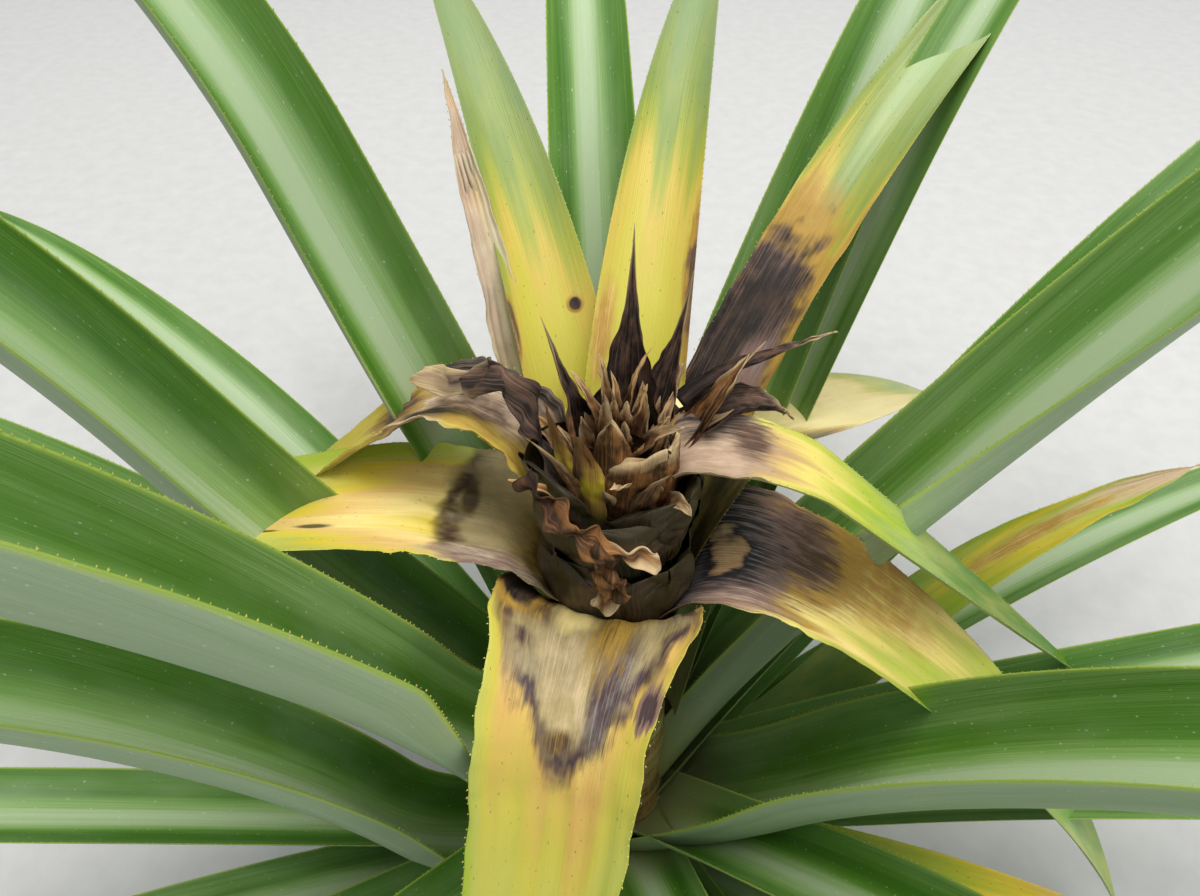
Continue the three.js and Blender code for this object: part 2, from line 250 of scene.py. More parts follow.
CROWN_LEAVES = (
    Leaf(GREEN, "leaf_back", 94, 120, 790, 72, (64, 60, 48, 20)),
    Leaf(GREEN, "leaf_back_right", 57, 146, 780, 78, (66, 51, 46, 18), turn=-5, roll=10),
    Leaf(GREEN, "leaf_back_left", 149, 125, 800, 86, (74, 65, 67, -8), turn=16, roll=-12, gutter=24),
    Leaf(GREEN, "leaf_back_right_outer", 47.5, 100, 790, 58, (61, 61, 55, 5), turn=-3, roll=2),
    Leaf(GREEN, "leaf_front_left", 225, 104, 820, 108, (49, 68, 63, 44), turn=11, roll=-8, gutter=28),
    Leaf(GREEN, "leaf_right", 11, 76, 820, 104, (67, 57, 58, 44), turn=-20, roll=4, gutter=14),
    Leaf(GREEN, "leaf_left", 180, 65, 820, 96, (61, 58, 66, 30), turn=17, roll=-10, gutter=28),
    Leaf(GREEN, "leaf_right_outer", 22.5, 50, 820, 65, (60, 54, 47, 18), turn=4),
    Leaf(GREEN, "leaf_back_left_outer", 124, 70, 780, 66, (50, 46, 30, -2)),
    Leaf(GREEN, "leaf_back_outer", 63, 70, 770, 64, (50, 46, 28, -2)),
    Leaf(GREEN, "leaf_left_outer", 167, 50, 780, 66, (40, 38, 24, -6)),
    Leaf(GREEN, "leaf_front_left_arching", 238, 46, 720, 62, (46, 41, 24, -8)),
    Leaf(GREEN, "leaf_front_arching", 284, 38, 680, 60, (42, 36, 16, -12)),
    Leaf(GREEN, "leaf_front_right_arching", 311, 48, 740, 64, (48, 42, 24, -8)),
)

LOW_LEAVES = (
    Leaf(GREEN, "leaf_low_right", -3, 34, 720, 62, (45, 27, 27, -12)),
    Leaf(GREEN, "leaf_low_front_right", -33, 22, 800, 110, (51, 62, 50, 0), turn=-16, gutter=28),
    Leaf(GREEN, "leaf_low_front_left", 209, 26, 800, 86, (20, 71, 61, 24), turn=13, roll=-10, gutter=28),
    Leaf(GREEN, "leaf_low_left", 195, 12, 740, 60, (25, 32, 30, -12)),
    Leaf(GREEN, "leaf_low_right_dying", 14, 20, 440, 56, (20, 62, 15, -28), turn=2, roll=28),
    Leaf(GREEN, "leaf_low_back_right", 33, 26, 700, 62, (40, 36, 18, -12)),
    Leaf(GREEN, "leaf_low_back", 91, 30, 740, 64, (46, 42, 24, -8)),
    Leaf(GREEN, "leaf_low_back_outer", 68, 14, 660, 58, (36, 30, 12, -12)),
    Leaf(GREEN, "leaf_low_back_left", 117, 14, 700, 60, (36, 32, 14, -12)),
    Leaf(GREEN, "leaf_low_back_left_outer", 144, 26, 740, 64, (44, 38, 20, -10)),
    Leaf(GREEN, "leaf_low_left_outer", 160, 16, 680, 58, (32, 30, 16, -14)),
    Leaf(GREEN, "leaf_low_front_left_outer", 206, 8, 650, 56, (22, 26, 18, -12)),
    Leaf(GREEN, "leaf_low_front_left_short", 219, 14, 600, 58, (30, 30, 10, -14)),
    Leaf(GREEN, "leaf_low_front", 248, 12, 600, 58, (26, 20, 6, -14)),
    Leaf(GREEN, "leaf_low_front_middle", 272, 14, 640, 60, (30, 22, 6, -16)),
    Leaf(GREEN, "leaf_low_front_short", 297, 12, 600, 58, (30, 22, 8, -14)),
    Leaf(GREEN, "leaf_low_front_right_outer", 316, 14, 640, 58, (28, 34, 18, -12)),
    Leaf(GREEN, "leaf_low_dried_tip", 330, 20, 440, 50, (34, 30, 9, -10)),
    Leaf(GREEN, "leaf_low_right_outer", -9, 10, 640, 56, (26, 24, 12, -10)),
    Leaf(GREEN, "leaf_low_right_back", 19, 12, 660, 58, (32, 30, 14, -12)),
)


# How a blade runs

def rib_of(leaf, along):
    """The rib's places at shares along the leaf, with its forward, side and up directions."""
    fine = np.linspace(0, 1, RIB_STEPS + 1)
    climb = np.radians(np.interp(fine * leaf.length, leaf.family.stops, leaf.climb))
    heading = np.radians(leaf.bearing + leaf.turn * fine)
    level = np.cos(climb)
    forward = np.stack([level * np.cos(heading), level * np.sin(heading), np.sin(climb)], axis=1)
    across = np.stack([np.sin(heading), -np.cos(heading), np.zeros_like(heading)], axis=1)
    roll = math.radians(leaf.roll)
    side = across * math.cos(roll) + np.cross(forward, across) * math.sin(roll)
    up = np.cross(side, forward)
    steps = (forward[1:] + forward[:-1]) / 2 * leaf.length / RIB_STEPS
    bearing = math.radians(leaf.bearing)
    start = np.array([leaf.start * math.cos(bearing), leaf.start * math.sin(bearing), leaf.foot])
    place = start + np.vstack([np.zeros(3), np.cumsum(steps, axis=0)])

    def at(values):
        return np.stack([np.interp(along, fine, values[:, axis]) for axis in range(3)], axis=1)

    return at(place), at(forward), at(side), at(up)


def width_at(leaf, along):
    flare = 1 + leaf.family.flare * np.exp(-((along / FLARE_REACH) ** 2))
    return leaf.width * flare * np.maximum(0, 1 - along ** leaf.family.taper) ** TAPER_ROUNDING


def curl_at(leaf, along):
    """Half the angle of the arc that the section is curled to, in radians."""
    distance = along * leaf.length
    deeper = leaf.gutter * np.minimum(1, distance / GUTTER_REACH)
    return np.radians(np.interp(distance, leaf.family.cup_at, leaf.family.cup) + deeper)


def blade_points(leaf, across, along):
    """Points of the upper face, in millimetres, at shares across (-1 to 1) and along (0 to 1)."""
    place, _, side, up = rib_of(leaf, along)
    curl = curl_at(leaf, along)
    arc = width_at(leaf, along) / (2 * curl)
    sideways = arc * np.sin(across * curl)
    upwards = arc * (1 - np.cos(across * curl))
    return place + side * sideways[:, None] + up * upwards[:, None]


# Small helpers for making meshes as by hand

def nothing_selected():
    if bpy.context.object and bpy.context.object.mode != "OBJECT":
        bpy.ops.object.mode_set(mode="OBJECT")
    bpy.ops.object.select_all(action="DESELECT")


def select_only(piece):
    nothing_selected()
    piece.select_set(True)
    bpy.context.view_layer.objects.active = piece


def new_object(name, data):
    thing = bpy.data.objects.new(name, data)
    bpy.context.scene.collection.objects.link(thing)
    return thing


def named(piece, name):
    piece.name = name
    piece.data.name = name
    return piece


def vertex_array(mesh):
    points = np.empty(len(mesh.vertices) * 3)
    mesh.vertices.foreach_get("co", points)
    return points.reshape(-1, 3)


def place_vertices(mesh, points):
    mesh.vertices.foreach_set("co", np.ascontiguousarray(points, dtype=np.float32).ravel())
    mesh.update()


def set_uv(mesh, name, across, along):
    layer = mesh.uv_layers.get(name) or mesh.uv_layers.new(name=name)
    corners = np.empty(len(mesh.loops), dtype=np.int32)
    mesh.loops.foreach_get("vertex_index", corners)
    pairs = np.stack([across[corners], along[corners]], axis=1)
    layer.data.foreach_set("uv", pairs.astype(np.float32).ravel())


def set_weights(piece, name, weights):
    group = piece.vertex_groups.new(name=name)
    for index, weight in enumerate(weights):
        if weight > 0.001:
            group.add([index], float(weight), "REPLACE")
    return group.name


def apply_modifier(piece, modifier):
    bpy.context.view_layer.objects.active = piece
    bpy.ops.object.modifier_apply(modifier=modifier.name)


def flat_sheet(name, columns, rows, rows_at=((0, 1), (0, 1))):
    """A flat grid of faces, with its shares across (-1 to 1) and along (0 to 1)."""
    nothing_selected()
    bpy.ops.mesh.primitive_grid_add(x_subdivisions=columns, y_subdivisions=rows, size=2)
    piece = named(bpy.context.object, name)
    points = vertex_array(piece.data)
    across = points[:, 0]
    along = np.interp((points[:, 1] + 1) / 2, *rows_at)
    piece.data.uv_layers[0].name = "share"
    set_uv(piece.data, "share", (across + 1) / 2, along)
    return piece, across, along


def thicken(piece, finishes, thickness, weights):
    """Gives a blade its finishes, and its wall below the upper face, thin at the margins."""
    for finish in finishes:
        piece.data.materials.append(finish)
    wall = piece.modifiers.new("wall", "SOLIDIFY")
    wall.thickness = thickness
    wall.offset = -1
    wall.vertex_group = set_weights(piece, "rib", weights)
    wall.thickness_vertex_group = MARGIN_SHARE
    wall.material_offset = 1
    wall.material_offset_rim = 0
    apply_modifier(piece, wall)


def smooth_out(piece):
    round_off = piece.modifiers.new("round_off", "SUBSURF")
    round_off.levels = 1
    round_off.render_levels = 1
    apply_modifier(piece, round_off)
    select_only(piece)
    bpy.ops.object.shade_smooth()


def crumple(piece, weights, strength, size):
    """Puckers the tissue where weights says, by a cloud pattern of about that size."""
    clouds = bpy.data.textures.new(piece.name + "_puckers", "CLOUDS")
    clouds.noise_scale = size
    clouds.noise_depth = 3
    pucker = piece.modifiers.new("pucker", "DISPLACE")
    pucker.texture = clouds
    pucker.texture_coords = "LOCAL"
    pucker.strength = strength
    pucker.mid_level = 0.5
    pucker.vertex_group = set_weights(piece, "pucker", weights)
    apply_modifier(piece, pucker)


# Node helpers

def put(tree, kind, inputs=(), **settings):
    """Adds a node, with its settings, and links or fills its inputs."""
    node = tree.nodes.new(kind)
    for name, value in settings.items():
        setattr(node, name, value)
    for key, value in dict(inputs).items():
        if isinstance(value, bpy.types.NodeSocket):
            tree.links.new(value, node.inputs[key])
        elif value is not None:
            node.inputs[key].default_value = value
    return node


def calc(tree, operation, *values):
    return put(tree, "ShaderNodeMath", dict(enumerate(values)), operation=operation).outputs[0]


def vector(tree, operation, *values, output=0):
    return put(tree, "ShaderNodeVectorMath", dict(enumerate(values)), operation=operation).outputs[output]


def mix(tree, factor, first, second, blend="MIX"):
    inputs = {0: factor, 6: first, 7: second}
    return put(tree, "ShaderNodeMix", inputs, data_type="RGBA", blend_type=blend).outputs[2]


def blend_values(tree, factor, first, second):
    return put(tree, "ShaderNodeMix", {0: factor, 2: first, 3: second}, data_type="FLOAT").outputs[0]


def fade(tree, value, low, high, to_low=0.0, to_high=1.0):
    """Maps low to high onto to_low to to_high with soft ends."""
    inputs = {0: value, 1: low, 2: high, 3: to_low, 4: to_high}
    return put(tree, "ShaderNodeMapRange", inputs, interpolation_type="SMOOTHSTEP").outputs[0]


def ramp(tree, value, stops):
    node = put(tree, "ShaderNodeValToRGB", {0: value})
    points = node.color_ramp.elements
    while len(points) < len(stops):
        points.new(0.5)
    for point, (position, colour) in zip(points, stops):
        point.position = position
    for point, (position, colour) in zip(points, stops):
        point.color = (*colour, 1)
    return node.outputs[0]


def cloud(tree, place, scale, detail=2.0, roughness=0.55, offset=(0, 0, 0)):
    """A noise value on a place stretched by scale."""
    inputs = {"Vector": place, "Scale": scale, "Location": offset}
    stretched = put(tree, "ShaderNodeMapping", inputs).outputs[0]
    noise = {"Vector": stretched, "Scale": 1.0, "Detail": detail, "Roughness": roughness}
    return put(tree, "ShaderNodeTexNoise", noise).outputs[0]


SOCKETS = {"value": "NodeSocketFloat", "vector": "NodeSocketVector", "colour": "NodeSocketColor"}


def new_group(name, inputs, outputs):
    tree = bpy.data.node_groups.new(name, "ShaderNodeTree")
    for label, kind in inputs.items():
        tree.interface.new_socket(label, in_out="INPUT", socket_type=SOCKETS[kind])
    for label, kind in outputs.items():
        tree.interface.new_socket(label, in_out="OUTPUT", socket_type=SOCKETS[kind])
    given = tree.nodes.new("NodeGroupInput").outputs
    result = tree.nodes.new("NodeGroupOutput").inputs
    return tree, given, result


def use(tree, group, **inputs):
    """Places a node group with its own values and returns its outputs."""
    return put(tree, "ShaderNodeGroup", inputs, node_tree=group).outputs


# Effects that several finishes share, each a node group that puts out values and masks

def grain_group():
    """Fine lengthwise veins, soft broad bands and small flecks, on a leaf's place in metres."""
    tree, given, result = new_group(
        "leaf_grain", {"Place": "vector"}, {"Veins": "value", "Bands": "value", "Flecks": "value"}
    )
    place = given["Place"]
    coarse = cloud(tree, place, COARSE_VEINS, 2)
    fine = cloud(tree, place, FINE_VEINS, 2, offset=(3, 1, 0))
    tree.links.new(blend_values(tree, 0.5, coarse, fine), result["Veins"])
    tree.links.new(cloud(tree, place, BROAD_BANDS, 2, offset=(1, 5, 0)), result["Bands"])
    dots = cloud(tree, place, SPECKS, 1, 0.4, offset=(7, 2, 0))
    tree.links.new(fade(tree, dots, 0.7, 0.78), result["Flecks"])
    return tree


def blotch_group():
    """A ragged patch on a leaf: a mask inside its outline, and a rim that follows it."""
    inputs = {
        "Share": "vector", "Place": "vector", "Centre": "vector", "Reach": "vector",
        "Ragged": "value", "Streaky": "value", "Soft": "value", "Rim": "value",
    }
    tree, given, result = new_group("blotch", inputs, {"Mask": "value", "Rim": "value"})
    away = vector(tree, "SUBTRACT", given["Share"], given["Centre"])
    distance = vector(tree, "LENGTH", vector(tree, "DIVIDE", away, given["Reach"]), output=1)
    streaks = cloud(tree, given["Place"], ROT_STREAKS, 4, 0.65, offset=(2, 9, 0))
    wander = cloud(tree, given["Place"], ROT_WANDER, 2, 0.45, offset=(8, 4, 0))
    wave = calc(tree, "SUBTRACT", blend_values(tree, given["Streaky"], wander, streaks), 0.5)
    wave = calc(tree, "MULTIPLY", wave, 2.0)
    shifted = calc(tree, "MULTIPLY_ADD", wave, given["Ragged"], distance)
    outer = calc(tree, "ADD", 1.0, given["Soft"])
    inner = calc(tree, "SUBTRACT", 1.0, given["Soft"])
    tree.links.new(fade(tree, shifted, outer, inner), result["Mask"])
    off_edge = calc(tree, "ABSOLUTE", calc(tree, "SUBTRACT", shifted, 1.0))
    uneven = fade(tree, wander, 0.3, 0.55, 0.45, 1.0)
    rim = calc(tree, "MULTIPLY", fade(tree, off_edge, given["Rim"], 0.0), uneven)
    tree.links.new(rim, result["Rim"])
    return tree


def tissue_group():
    """Dried or rotten leaf tissue between two colours: fibres along the leaf, with mottling."""
    inputs = {"Place": "vector", "Pale": "colour", "Dark": "colour", "Mottle": "value"}
    tree, given, result = new_group("dead_tissue", inputs, {"Color": "colour", "Fibres": "value"})
    fibres = cloud(tree, given["Place"], DRY_FIBRES, 4, 0.7, offset=(4, 6, 0))
    patches = cloud(tree, given["Place"], DRY_PATCHES, 3, 0.6, offset=(6, 3, 0))
    streaked = fade(tree, fibres, 0.47, 0.64)
    patched = fade(tree, patches, 0.42, 0.68)
    value = blend_values(tree, given["Mottle"], streaked, patched)
    tree.links.new(mix(tree, value, given["Dark"], given["Pale"]), result["Color"])
    tree.links.new(fibres, result["Fibres"])
    return tree


GRAIN = grain_group()
BLOTCH = blotch_group()
TISSUE = tissue_group()


# Colours, as base colours of the dry surfaces

DEEP_GREEN = (0.045, 0.145, 0.007)
LEAF_GREEN = (0.085, 0.215, 0.018)
SOFT_GREEN = (0.2, 0.35, 0.09)
BLOOM_AND_SHEEN_GREEN = (0.38, 0.49, 0.28)
PALE_GREEN = (0.325, 0.415, 0.14)
FROST_GREEN = (0.35, 0.46, 0.22)
WAX_PALE = (0.38, 0.47, 0.32)
WAX_DEEP = (0.17, 0.26, 0.13)
WAX_MID = (0.25, 0.35, 0.19)
MARGIN_LIME = (0.42, 0.55, 0.07)
LIME = (0.36, 0.46, 0.035)
YELLOW_GREEN = (0.46, 0.475, 0.09)
HIGH_YELLOW = (0.53, 0.48, 0.055)
HIGH_PEACH = (0.57, 0.43, 0.075)
HIGH_LIME = (0.34, 0.37, 0.05)
HIGH_GREEN = (0.22, 0.3, 0.07)
HIGH_FROST = (0.22, 0.31, 0.13)
DULL_YELLOW = (0.54, 0.48, 0.06)
DULL_PEACH = (0.62, 0.37, 0.1)
YELLOW = (0.68, 0.53, 0.035)
PALE_YELLOW = (0.74, 0.62, 0.16)
PEACH = (0.72, 0.46, 0.16)
FOOT_PALE = (0.55, 0.55, 0.25)
SHADED_FOOT_GREEN = (0.28, 0.32, 0.13)
OCHRE = (0.45, 0.27, 0.05)
OLIVE_ROT = (0.13, 0.095, 0.025)
WET_OLIVE = (0.03, 0.022, 0.007)
WET_STRAW = (0.42, 0.33, 0.14)
GREY_ROT = (0.33, 0.26, 0.13)
CHARCOAL = (0.018, 0.014, 0.012)
SMOKE = (0.3, 0.26, 0.23)
INK = (0.012, 0.012, 0.018)
ASH = (0.25, 0.19, 0.145)
UMBER = (0.09, 0.05, 0.03)
TAN = (0.5, 0.31, 0.14)
STRAW = (0.62, 0.47, 0.27)
PINK_GREY = (0.58, 0.41, 0.3)
PALE_PINK = (0.74, 0.58, 0.45)
DRIED = (0.38, 0.265, 0.17)
PURPLE = (0.06, 0.034, 0.04)
ROT_EDGE = (0.06, 0.032, 0.016)
BRUISE = (0.26, 0.15, 0.12)
AMBER = (0.5, 0.27, 0.06)
CREAM = (0.88, 0.7, 0.27)
PALE_CREAM = (0.97, 0.82, 0.4)
SCURF = (0.7, 0.76, 0.66)
SCORCH_PALE = (0.68, 0.62, 0.44)
BRACT_TAN = (0.38, 0.17, 0.05)
BRACT_DARK = (0.05, 0.024, 0.01)
BRACT_PALE = (0.68, 0.39, 0.16)
BRACT_BROWN = (0.12, 0.045, 0.013)
DEAD_PALE = (0.24, 0.14, 0.1)
DEAD_TAN = (0.46, 0.24, 0.1)
SHEATH_OLIVE = (0.034, 0.025, 0.008)
SHEATH_GREEN = (0.038, 0.048, 0.017)


@dataclass
class Blotch:
    """A patch of dead tissue. centre and reach are shares across (0 to 1) and along the leaf,
    ragged is how far its outline wanders, soft how wide its edge fades, and rim the colour and
    the width of its rim. streaky is how far the outline follows the veins."""

    centre: tuple
    reach: tuple
    pale: tuple
    dark: tuple
    ragged: float
    soft: float
    rim: tuple = None
    mottle: float = 0.4
    gloss: float = 0.6
    streaky: float = 0.4


@dataclass
class Look:
    """How a dying leaf is coloured. stages runs from foot to tip, edge_lead says how far the
    margins run ahead of the middle, tilt how far one margin runs ahead of the other, streaks
    how far the veins do, wax how much pale bloom the lower face has, and bloom how much the
    leaf is mottled pale."""

    stages: tuple
    blotches: tuple = ()
    edge_lead: float = 0.1
    tilt: float = 0.0
    streaks: float = 0.12
    wax: float = 0.35
    bloom: float = 0.35


def leaf_coordinates(tree):
    share = put(tree, "ShaderNodeUVMap", uv_map="share").outputs[0]
    place = put(tree, "ShaderNodeUVMap", uv_map="place").outputs[0]
    parts = put(tree, "ShaderNodeSeparateXYZ", {0: share}).outputs
    off_rib = calc(tree, "ABSOLUTE", calc(tree, "MULTIPLY_ADD", parts[0], 2.0, -1.0))
    return share, place, parts[1], off_rib


def new_material(name):
    material = bpy.data.materials.new(name)
    material.use_nodes = True
    tree = material.node_tree
    return material, tree, tree.nodes["Principled BSDF"]


def finish_surface(tree, surface, colour, roughness, height, depth):
    tree.links.new(colour, surface.inputs["Base Color"])
    if isinstance(roughness, bpy.types.NodeSocket):
        tree.links.new(roughness, surface.inputs["Roughness"])
    else:
        surface.inputs["Roughness"].default_value = roughness
    bump = put(tree, "ShaderNodeBump", {"Strength": depth, "Distance": 1 * MM, "Height": height})
    tree.links.new(bump.outputs[0], surface.inputs["Normal"])


# A green leaf's upper face: how light each share of the way from the rib to the margin is, lightest
# at the rib for a painted sheen, and the greens from deep to bloomed and sheened. Its lower face runs
# from deep wax to pale. The bands are where the lime margin, the pale foot with painted shade, and the
# dry tip come in.

RIB_TO_MARGIN = ((0.0, (0.74,) * 3), (0.25, (0.6,) * 3), (0.5, (0.34,) * 3), (0.8, (0.44,) * 3))
GREENS = ((0.3, DEEP_GREEN), (0.44, LEAF_GREEN), (0.58, SOFT_GREEN), (0.76, BLOOM_AND_SHEEN_GREEN))
SPINE_TONES = ((0.35, MARGIN_LIME), (0.55, PALE_YELLOW), (0.75, TAN))
WAXES = ((0.3, WAX_DEEP), (0.5, WAX_MID), (0.68, WAX_PALE))
MARGIN_BAND = (0.94, 0.99)
FOOT_BAND = (0.13, 0.02)
DRY_TIP = (0.985, 1.0)


def green_finish(name, under):
    """A healthy leaf: satin green above with a pale bloom and a painted sheen along the rib, waxy grey-green
    below.
    """
    material, tree, surface = new_material(name)
    share, place, along, off_rib = leaf_coordinates(tree)
    grain = use(tree, GRAIN, Place=place)
    tone = put(tree, "ShaderNodeAttribute", attribute_name="tone").outputs["Fac"]
    if under:
        shade = blend_values(tree, 0.55, grain["Veins"], grain["Bands"])
        colour = ramp(tree, shade, WAXES)
        colour = mix(tree, 0.35, colour, (*WAX_PALE, 1))
    else:
        shade = blend_values(tree, 0.58, grain["Veins"], grain["Bands"])
        shade = calc(tree, "MULTIPLY_ADD", calc(tree, "SUBTRACT", tone, 0.5), 0.16, shade)
        # Lightness from rib to margin: the light band at the rib is a painted sheen on the waxy bloom.
        sheen_zones = ramp(tree, off_rib, RIB_TO_MARGIN)
        shade = calc(tree, "ADD", calc(tree, "MULTIPLY_ADD", shade, 0.8, -0.38), sheen_zones)
        colour = ramp(tree, shade, GREENS)
    dusty = fade(tree, cloud(tree, place, DUSTY_BLOOM, 4, 0.6), 0.42, 0.7, 0.0, 0.34)
    colour = mix(tree, dusty, colour, (*BLOOM_AND_SHEEN_GREEN, 1))
    margin = fade(tree, off_rib, *MARGIN_BAND)
    colour = mix(tree, calc(tree, "MULTIPLY", margin, 0.6), colour, (*MARGIN_LIME, 1))
    # The pale foot of the leaf, darkened with painted shade deep in the rosette.
    foot = fade(tree, along, *FOOT_BAND)
    colour = mix(tree, foot, colour, (*SHADED_FOOT_GREEN, 1))
    dry = fade(tree, calc(tree, "MULTIPLY_ADD", grain["Bands"], 0.03, along), *DRY_TIP)
    colour = mix(tree, dry, colour, (*TAN, 1))
    colour = mix(tree, calc(tree, "MULTIPLY", grain["Flecks"], 0.3), colour, (*SCURF, 1))
    sheen = (0.5, 0.62) if under else (0.36, 0.5)
    roughness = fade(tree, grain["Bands"], 0.3, 0.7, *sheen)
    finish_surface(tree, surface, colour, roughness, grain["Veins"], 0.35)
    return material


def add_blotch(tree, share, place, colour, roughness, height, blotch):
    """Lays one patch of dead tissue over what is there already."""
    rim, rim_width = blotch.rim or (None, 0.1)
    patch = use(
        tree, BLOTCH, Share=share, Place=place, Centre=(*blotch.centre, 0), Reach=(*blotch.reach, 1),
        Ragged=blotch.ragged, Streaky=blotch.streaky, Soft=blotch.soft, Rim=rim_width,
    )
    tissue = use(
        tree, TISSUE, Place=place, Pale=(*blotch.pale, 1), Dark=(*blotch.dark, 1), Mottle=blotch.mottle
    )
    colour = mix(tree, patch["Mask"], colour, tissue["Color"])
    if rim:
        colour = mix(tree, patch["Rim"], colour, (*rim, 1))
    roughness = blend_values(tree, patch["Mask"], roughness, blotch.gloss)
    sunk = calc(tree, "MULTIPLY", patch["Mask"], calc(tree, "MULTIPLY", tissue["Fibres"], 1.6))
    return colour, roughness, calc(tree, "ADD", height, sunk)


def dying_finish(name, look, under):
    """A yellowing leaf, its colour run along it in streaks, with patches of rot or scorch."""
    material, tree, surface = new_material(name)
    share, place, along, off_rib = leaf_coordinates(tree)
    grain = use(tree, GRAIN, Place=place)
    streak = calc(tree, "MULTIPLY", calc(tree, "SUBTRACT", grain["Bands"], 0.5), 3 * look.streaks)
    fine = calc(tree, "MULTIPLY", calc(tree, "SUBTRACT", grain["Veins"], 0.5), look.streaks)
    lead = calc(tree, "MULTIPLY", calc(tree, "POWER", off_rib, 2.0), look.edge_lead)
    stage = calc(tree, "ADD", calc(tree, "ADD", along, lead), calc(tree, "ADD", streak, fine))
    side = put(tree, "ShaderNodeSeparateXYZ", {0: share}).outputs[0]
    stage = calc(tree, "ADD", stage, calc(tree, "MULTIPLY", calc(tree, "SUBTRACT", side, 0.5), look.tilt))
    colour = ramp(tree, stage, look.stages)
    mottle = fade(tree, cloud(tree, place, YELLOW_MOTTLE, 4, 0.6), 0.35, 0.7, 0.0, look.bloom)
    colour = mix(tree, mottle, colour, (*PALE_YELLOW, 1))
    if under:
        colour = mix(tree, fade(tree, along, 0.2, 0.4, 0.0, look.wax), colour, (*WAX_PALE, 1))
    flecks = calc(tree, "MULTIPLY", grain["Flecks"], 0.5)
    colour = mix(tree, flecks, colour, (*UMBER, 1))
    roughness = calc(tree, "MULTIPLY_ADD", grain["Bands"], 0.2, 0.34)
    height = grain["Veins"]
    for blotch in look.blotches:
        colour, roughness, height = add_blotch(tree, share, place, colour, roughness, height, blotch)
    surface.inputs["Specular IOR Level"].default_value = 0.35
    finish_surface(tree, surface, colour, roughness, height, 0.45)
    return material


def dead_finish(name, pale, dark, foot=0.35, pale_from=0.8, edge=0.3):
    """A dead bract or leaf: dry fibres, darker towards the foot, partly its own colour and partly painted
    shade, and paler at the tip.
    """
    material, tree, surface = new_material(name)
    share, place, along, off_rib = leaf_coordinates(tree)
    tissue = use(tree, TISSUE, Place=place, Pale=(*pale, 1), Dark=(*dark, 1), Mottle=0.55)
    # Darker towards the foot: partly the tissue's own darker base, partly painted shade deep in the heart.
    shade = fade(tree, along, 0.1, 0.75, foot, 1.0)
    painted_foot_shade = ramp(tree, shade, ((0.0, (0.2, 0.16, 0.13)), (1.0, (1, 1, 1))))
    colour = mix(tree, 1.0, tissue["Color"], painted_foot_shade, "MULTIPLY")
    outward = calc(tree, "MULTIPLY_ADD", off_rib, edge, along)
    tip = fade(tree, outward, pale_from, 1.15, 0.0, 0.8)
    colour = mix(tree, tip, colour, (*STRAW, 1))
    tone = put(tree, "ShaderNodeAttribute", attribute_name="tone").outputs["Fac"]
    colour = mix(tree, 0.8, colour, ramp(tree, tone, DRY_TONES), "MULTIPLY")
    surface.inputs["Specular IOR Level"].default_value = 0.25
    finish_surface(tree, surface, colour, 0.7, tissue["Fibres"], 0.8)
    return material


def stem_finish():
    """The stem: fibrous, ringed with old leaf scars, pale olive to brown."""
    material, tree, surface = new_material("stem_fibres")
    place = put(tree, "ShaderNodeTexCoord").outputs["Object"]
    rings = cloud(tree, place, STEM_RINGS, 4, 0.6)
    fibres = cloud(tree, place, STEM_FIBRES, 3, 0.6)
    colour = ramp(tree, rings, ((0.3, UMBER), (0.5, OCHRE), (0.7, FOOT_PALE)))
    colour = mix(tree, fade(tree, fibres, 0.4, 0.7, 0.0, 0.5), colour, (*STRAW, 1))
    finish_surface(tree, surface, colour, 0.75, calc(tree, "ADD", rings, fibres), 0.8)
    return material


def grainy_finish(name, scale, detail, stops, roughness, depth):
    """A plain surface with a soft grain between a few tones."""
    material, tree, surface = new_material(name)
    place = put(tree, "ShaderNodeTexCoord").outputs["Object"]
    grainy = cloud(tree, place, scale, detail, 0.6)
    finish_surface(tree, surface, ramp(tree, grainy, stops), roughness, grainy, depth)
    return material


# Pieces

def merge_tip(piece):
    bpy.context.view_layer.objects.active = piece
    bpy.ops.object.mode_set(mode="EDIT")
    bpy.ops.mesh.select_all(action="SELECT")
    bpy.ops.mesh.remove_doubles(threshold=0.05 * MM)
    bpy.ops.mesh.select_all(action="DESELECT")
    bpy.ops.object.mode_set(mode="OBJECT")


def add_tone(piece, tone):
    layer = piece.data.attributes.new("tone", "FLOAT", "POINT")
    layer.data.foreach_set("value", np.full(len(piece.data.vertices), tone, dtype=np.float32))


def blade(leaf, finishes, withered=None, pucker=0.0, pucker_size=0.03, shape=None):
    """One leaf, from a flat sheet laid along its rib, given its wall and rounded off."""
    family = leaf.family
    piece, across, along = flat_sheet(leaf.name + "_blade", family.columns, family.rows, family.rows_at)
    points = blade_points(leaf, across, along)
    if shape:
        points = shape(leaf, points, across, along)
    place_vertices(piece.data, points * MM)
    half_width = width_at(leaf, along) / 2
    set_uv(piece.data, "place", across * half_width * MM, along * leaf.length * MM)
    if withered:
        weights = np.interp(along, *withered)
        crumple(piece, weights, pucker * MM, pucker_size)
    rib_weights = (1 - across ** 2) * np.minimum(1, TIP_TAPER * (1 - along))
    thicken(piece, finishes, family.rib * MM, rib_weights)
    merge_tip(piece)
    smooth_out(piece)
    return piece


def ripple(value, waves, phases):
    """A sum of waves, each of its own height and pace, from its own phase."""
    return sum(height * np.sin(pace * value + phase) for (height, pace), phase in zip(waves, phases))


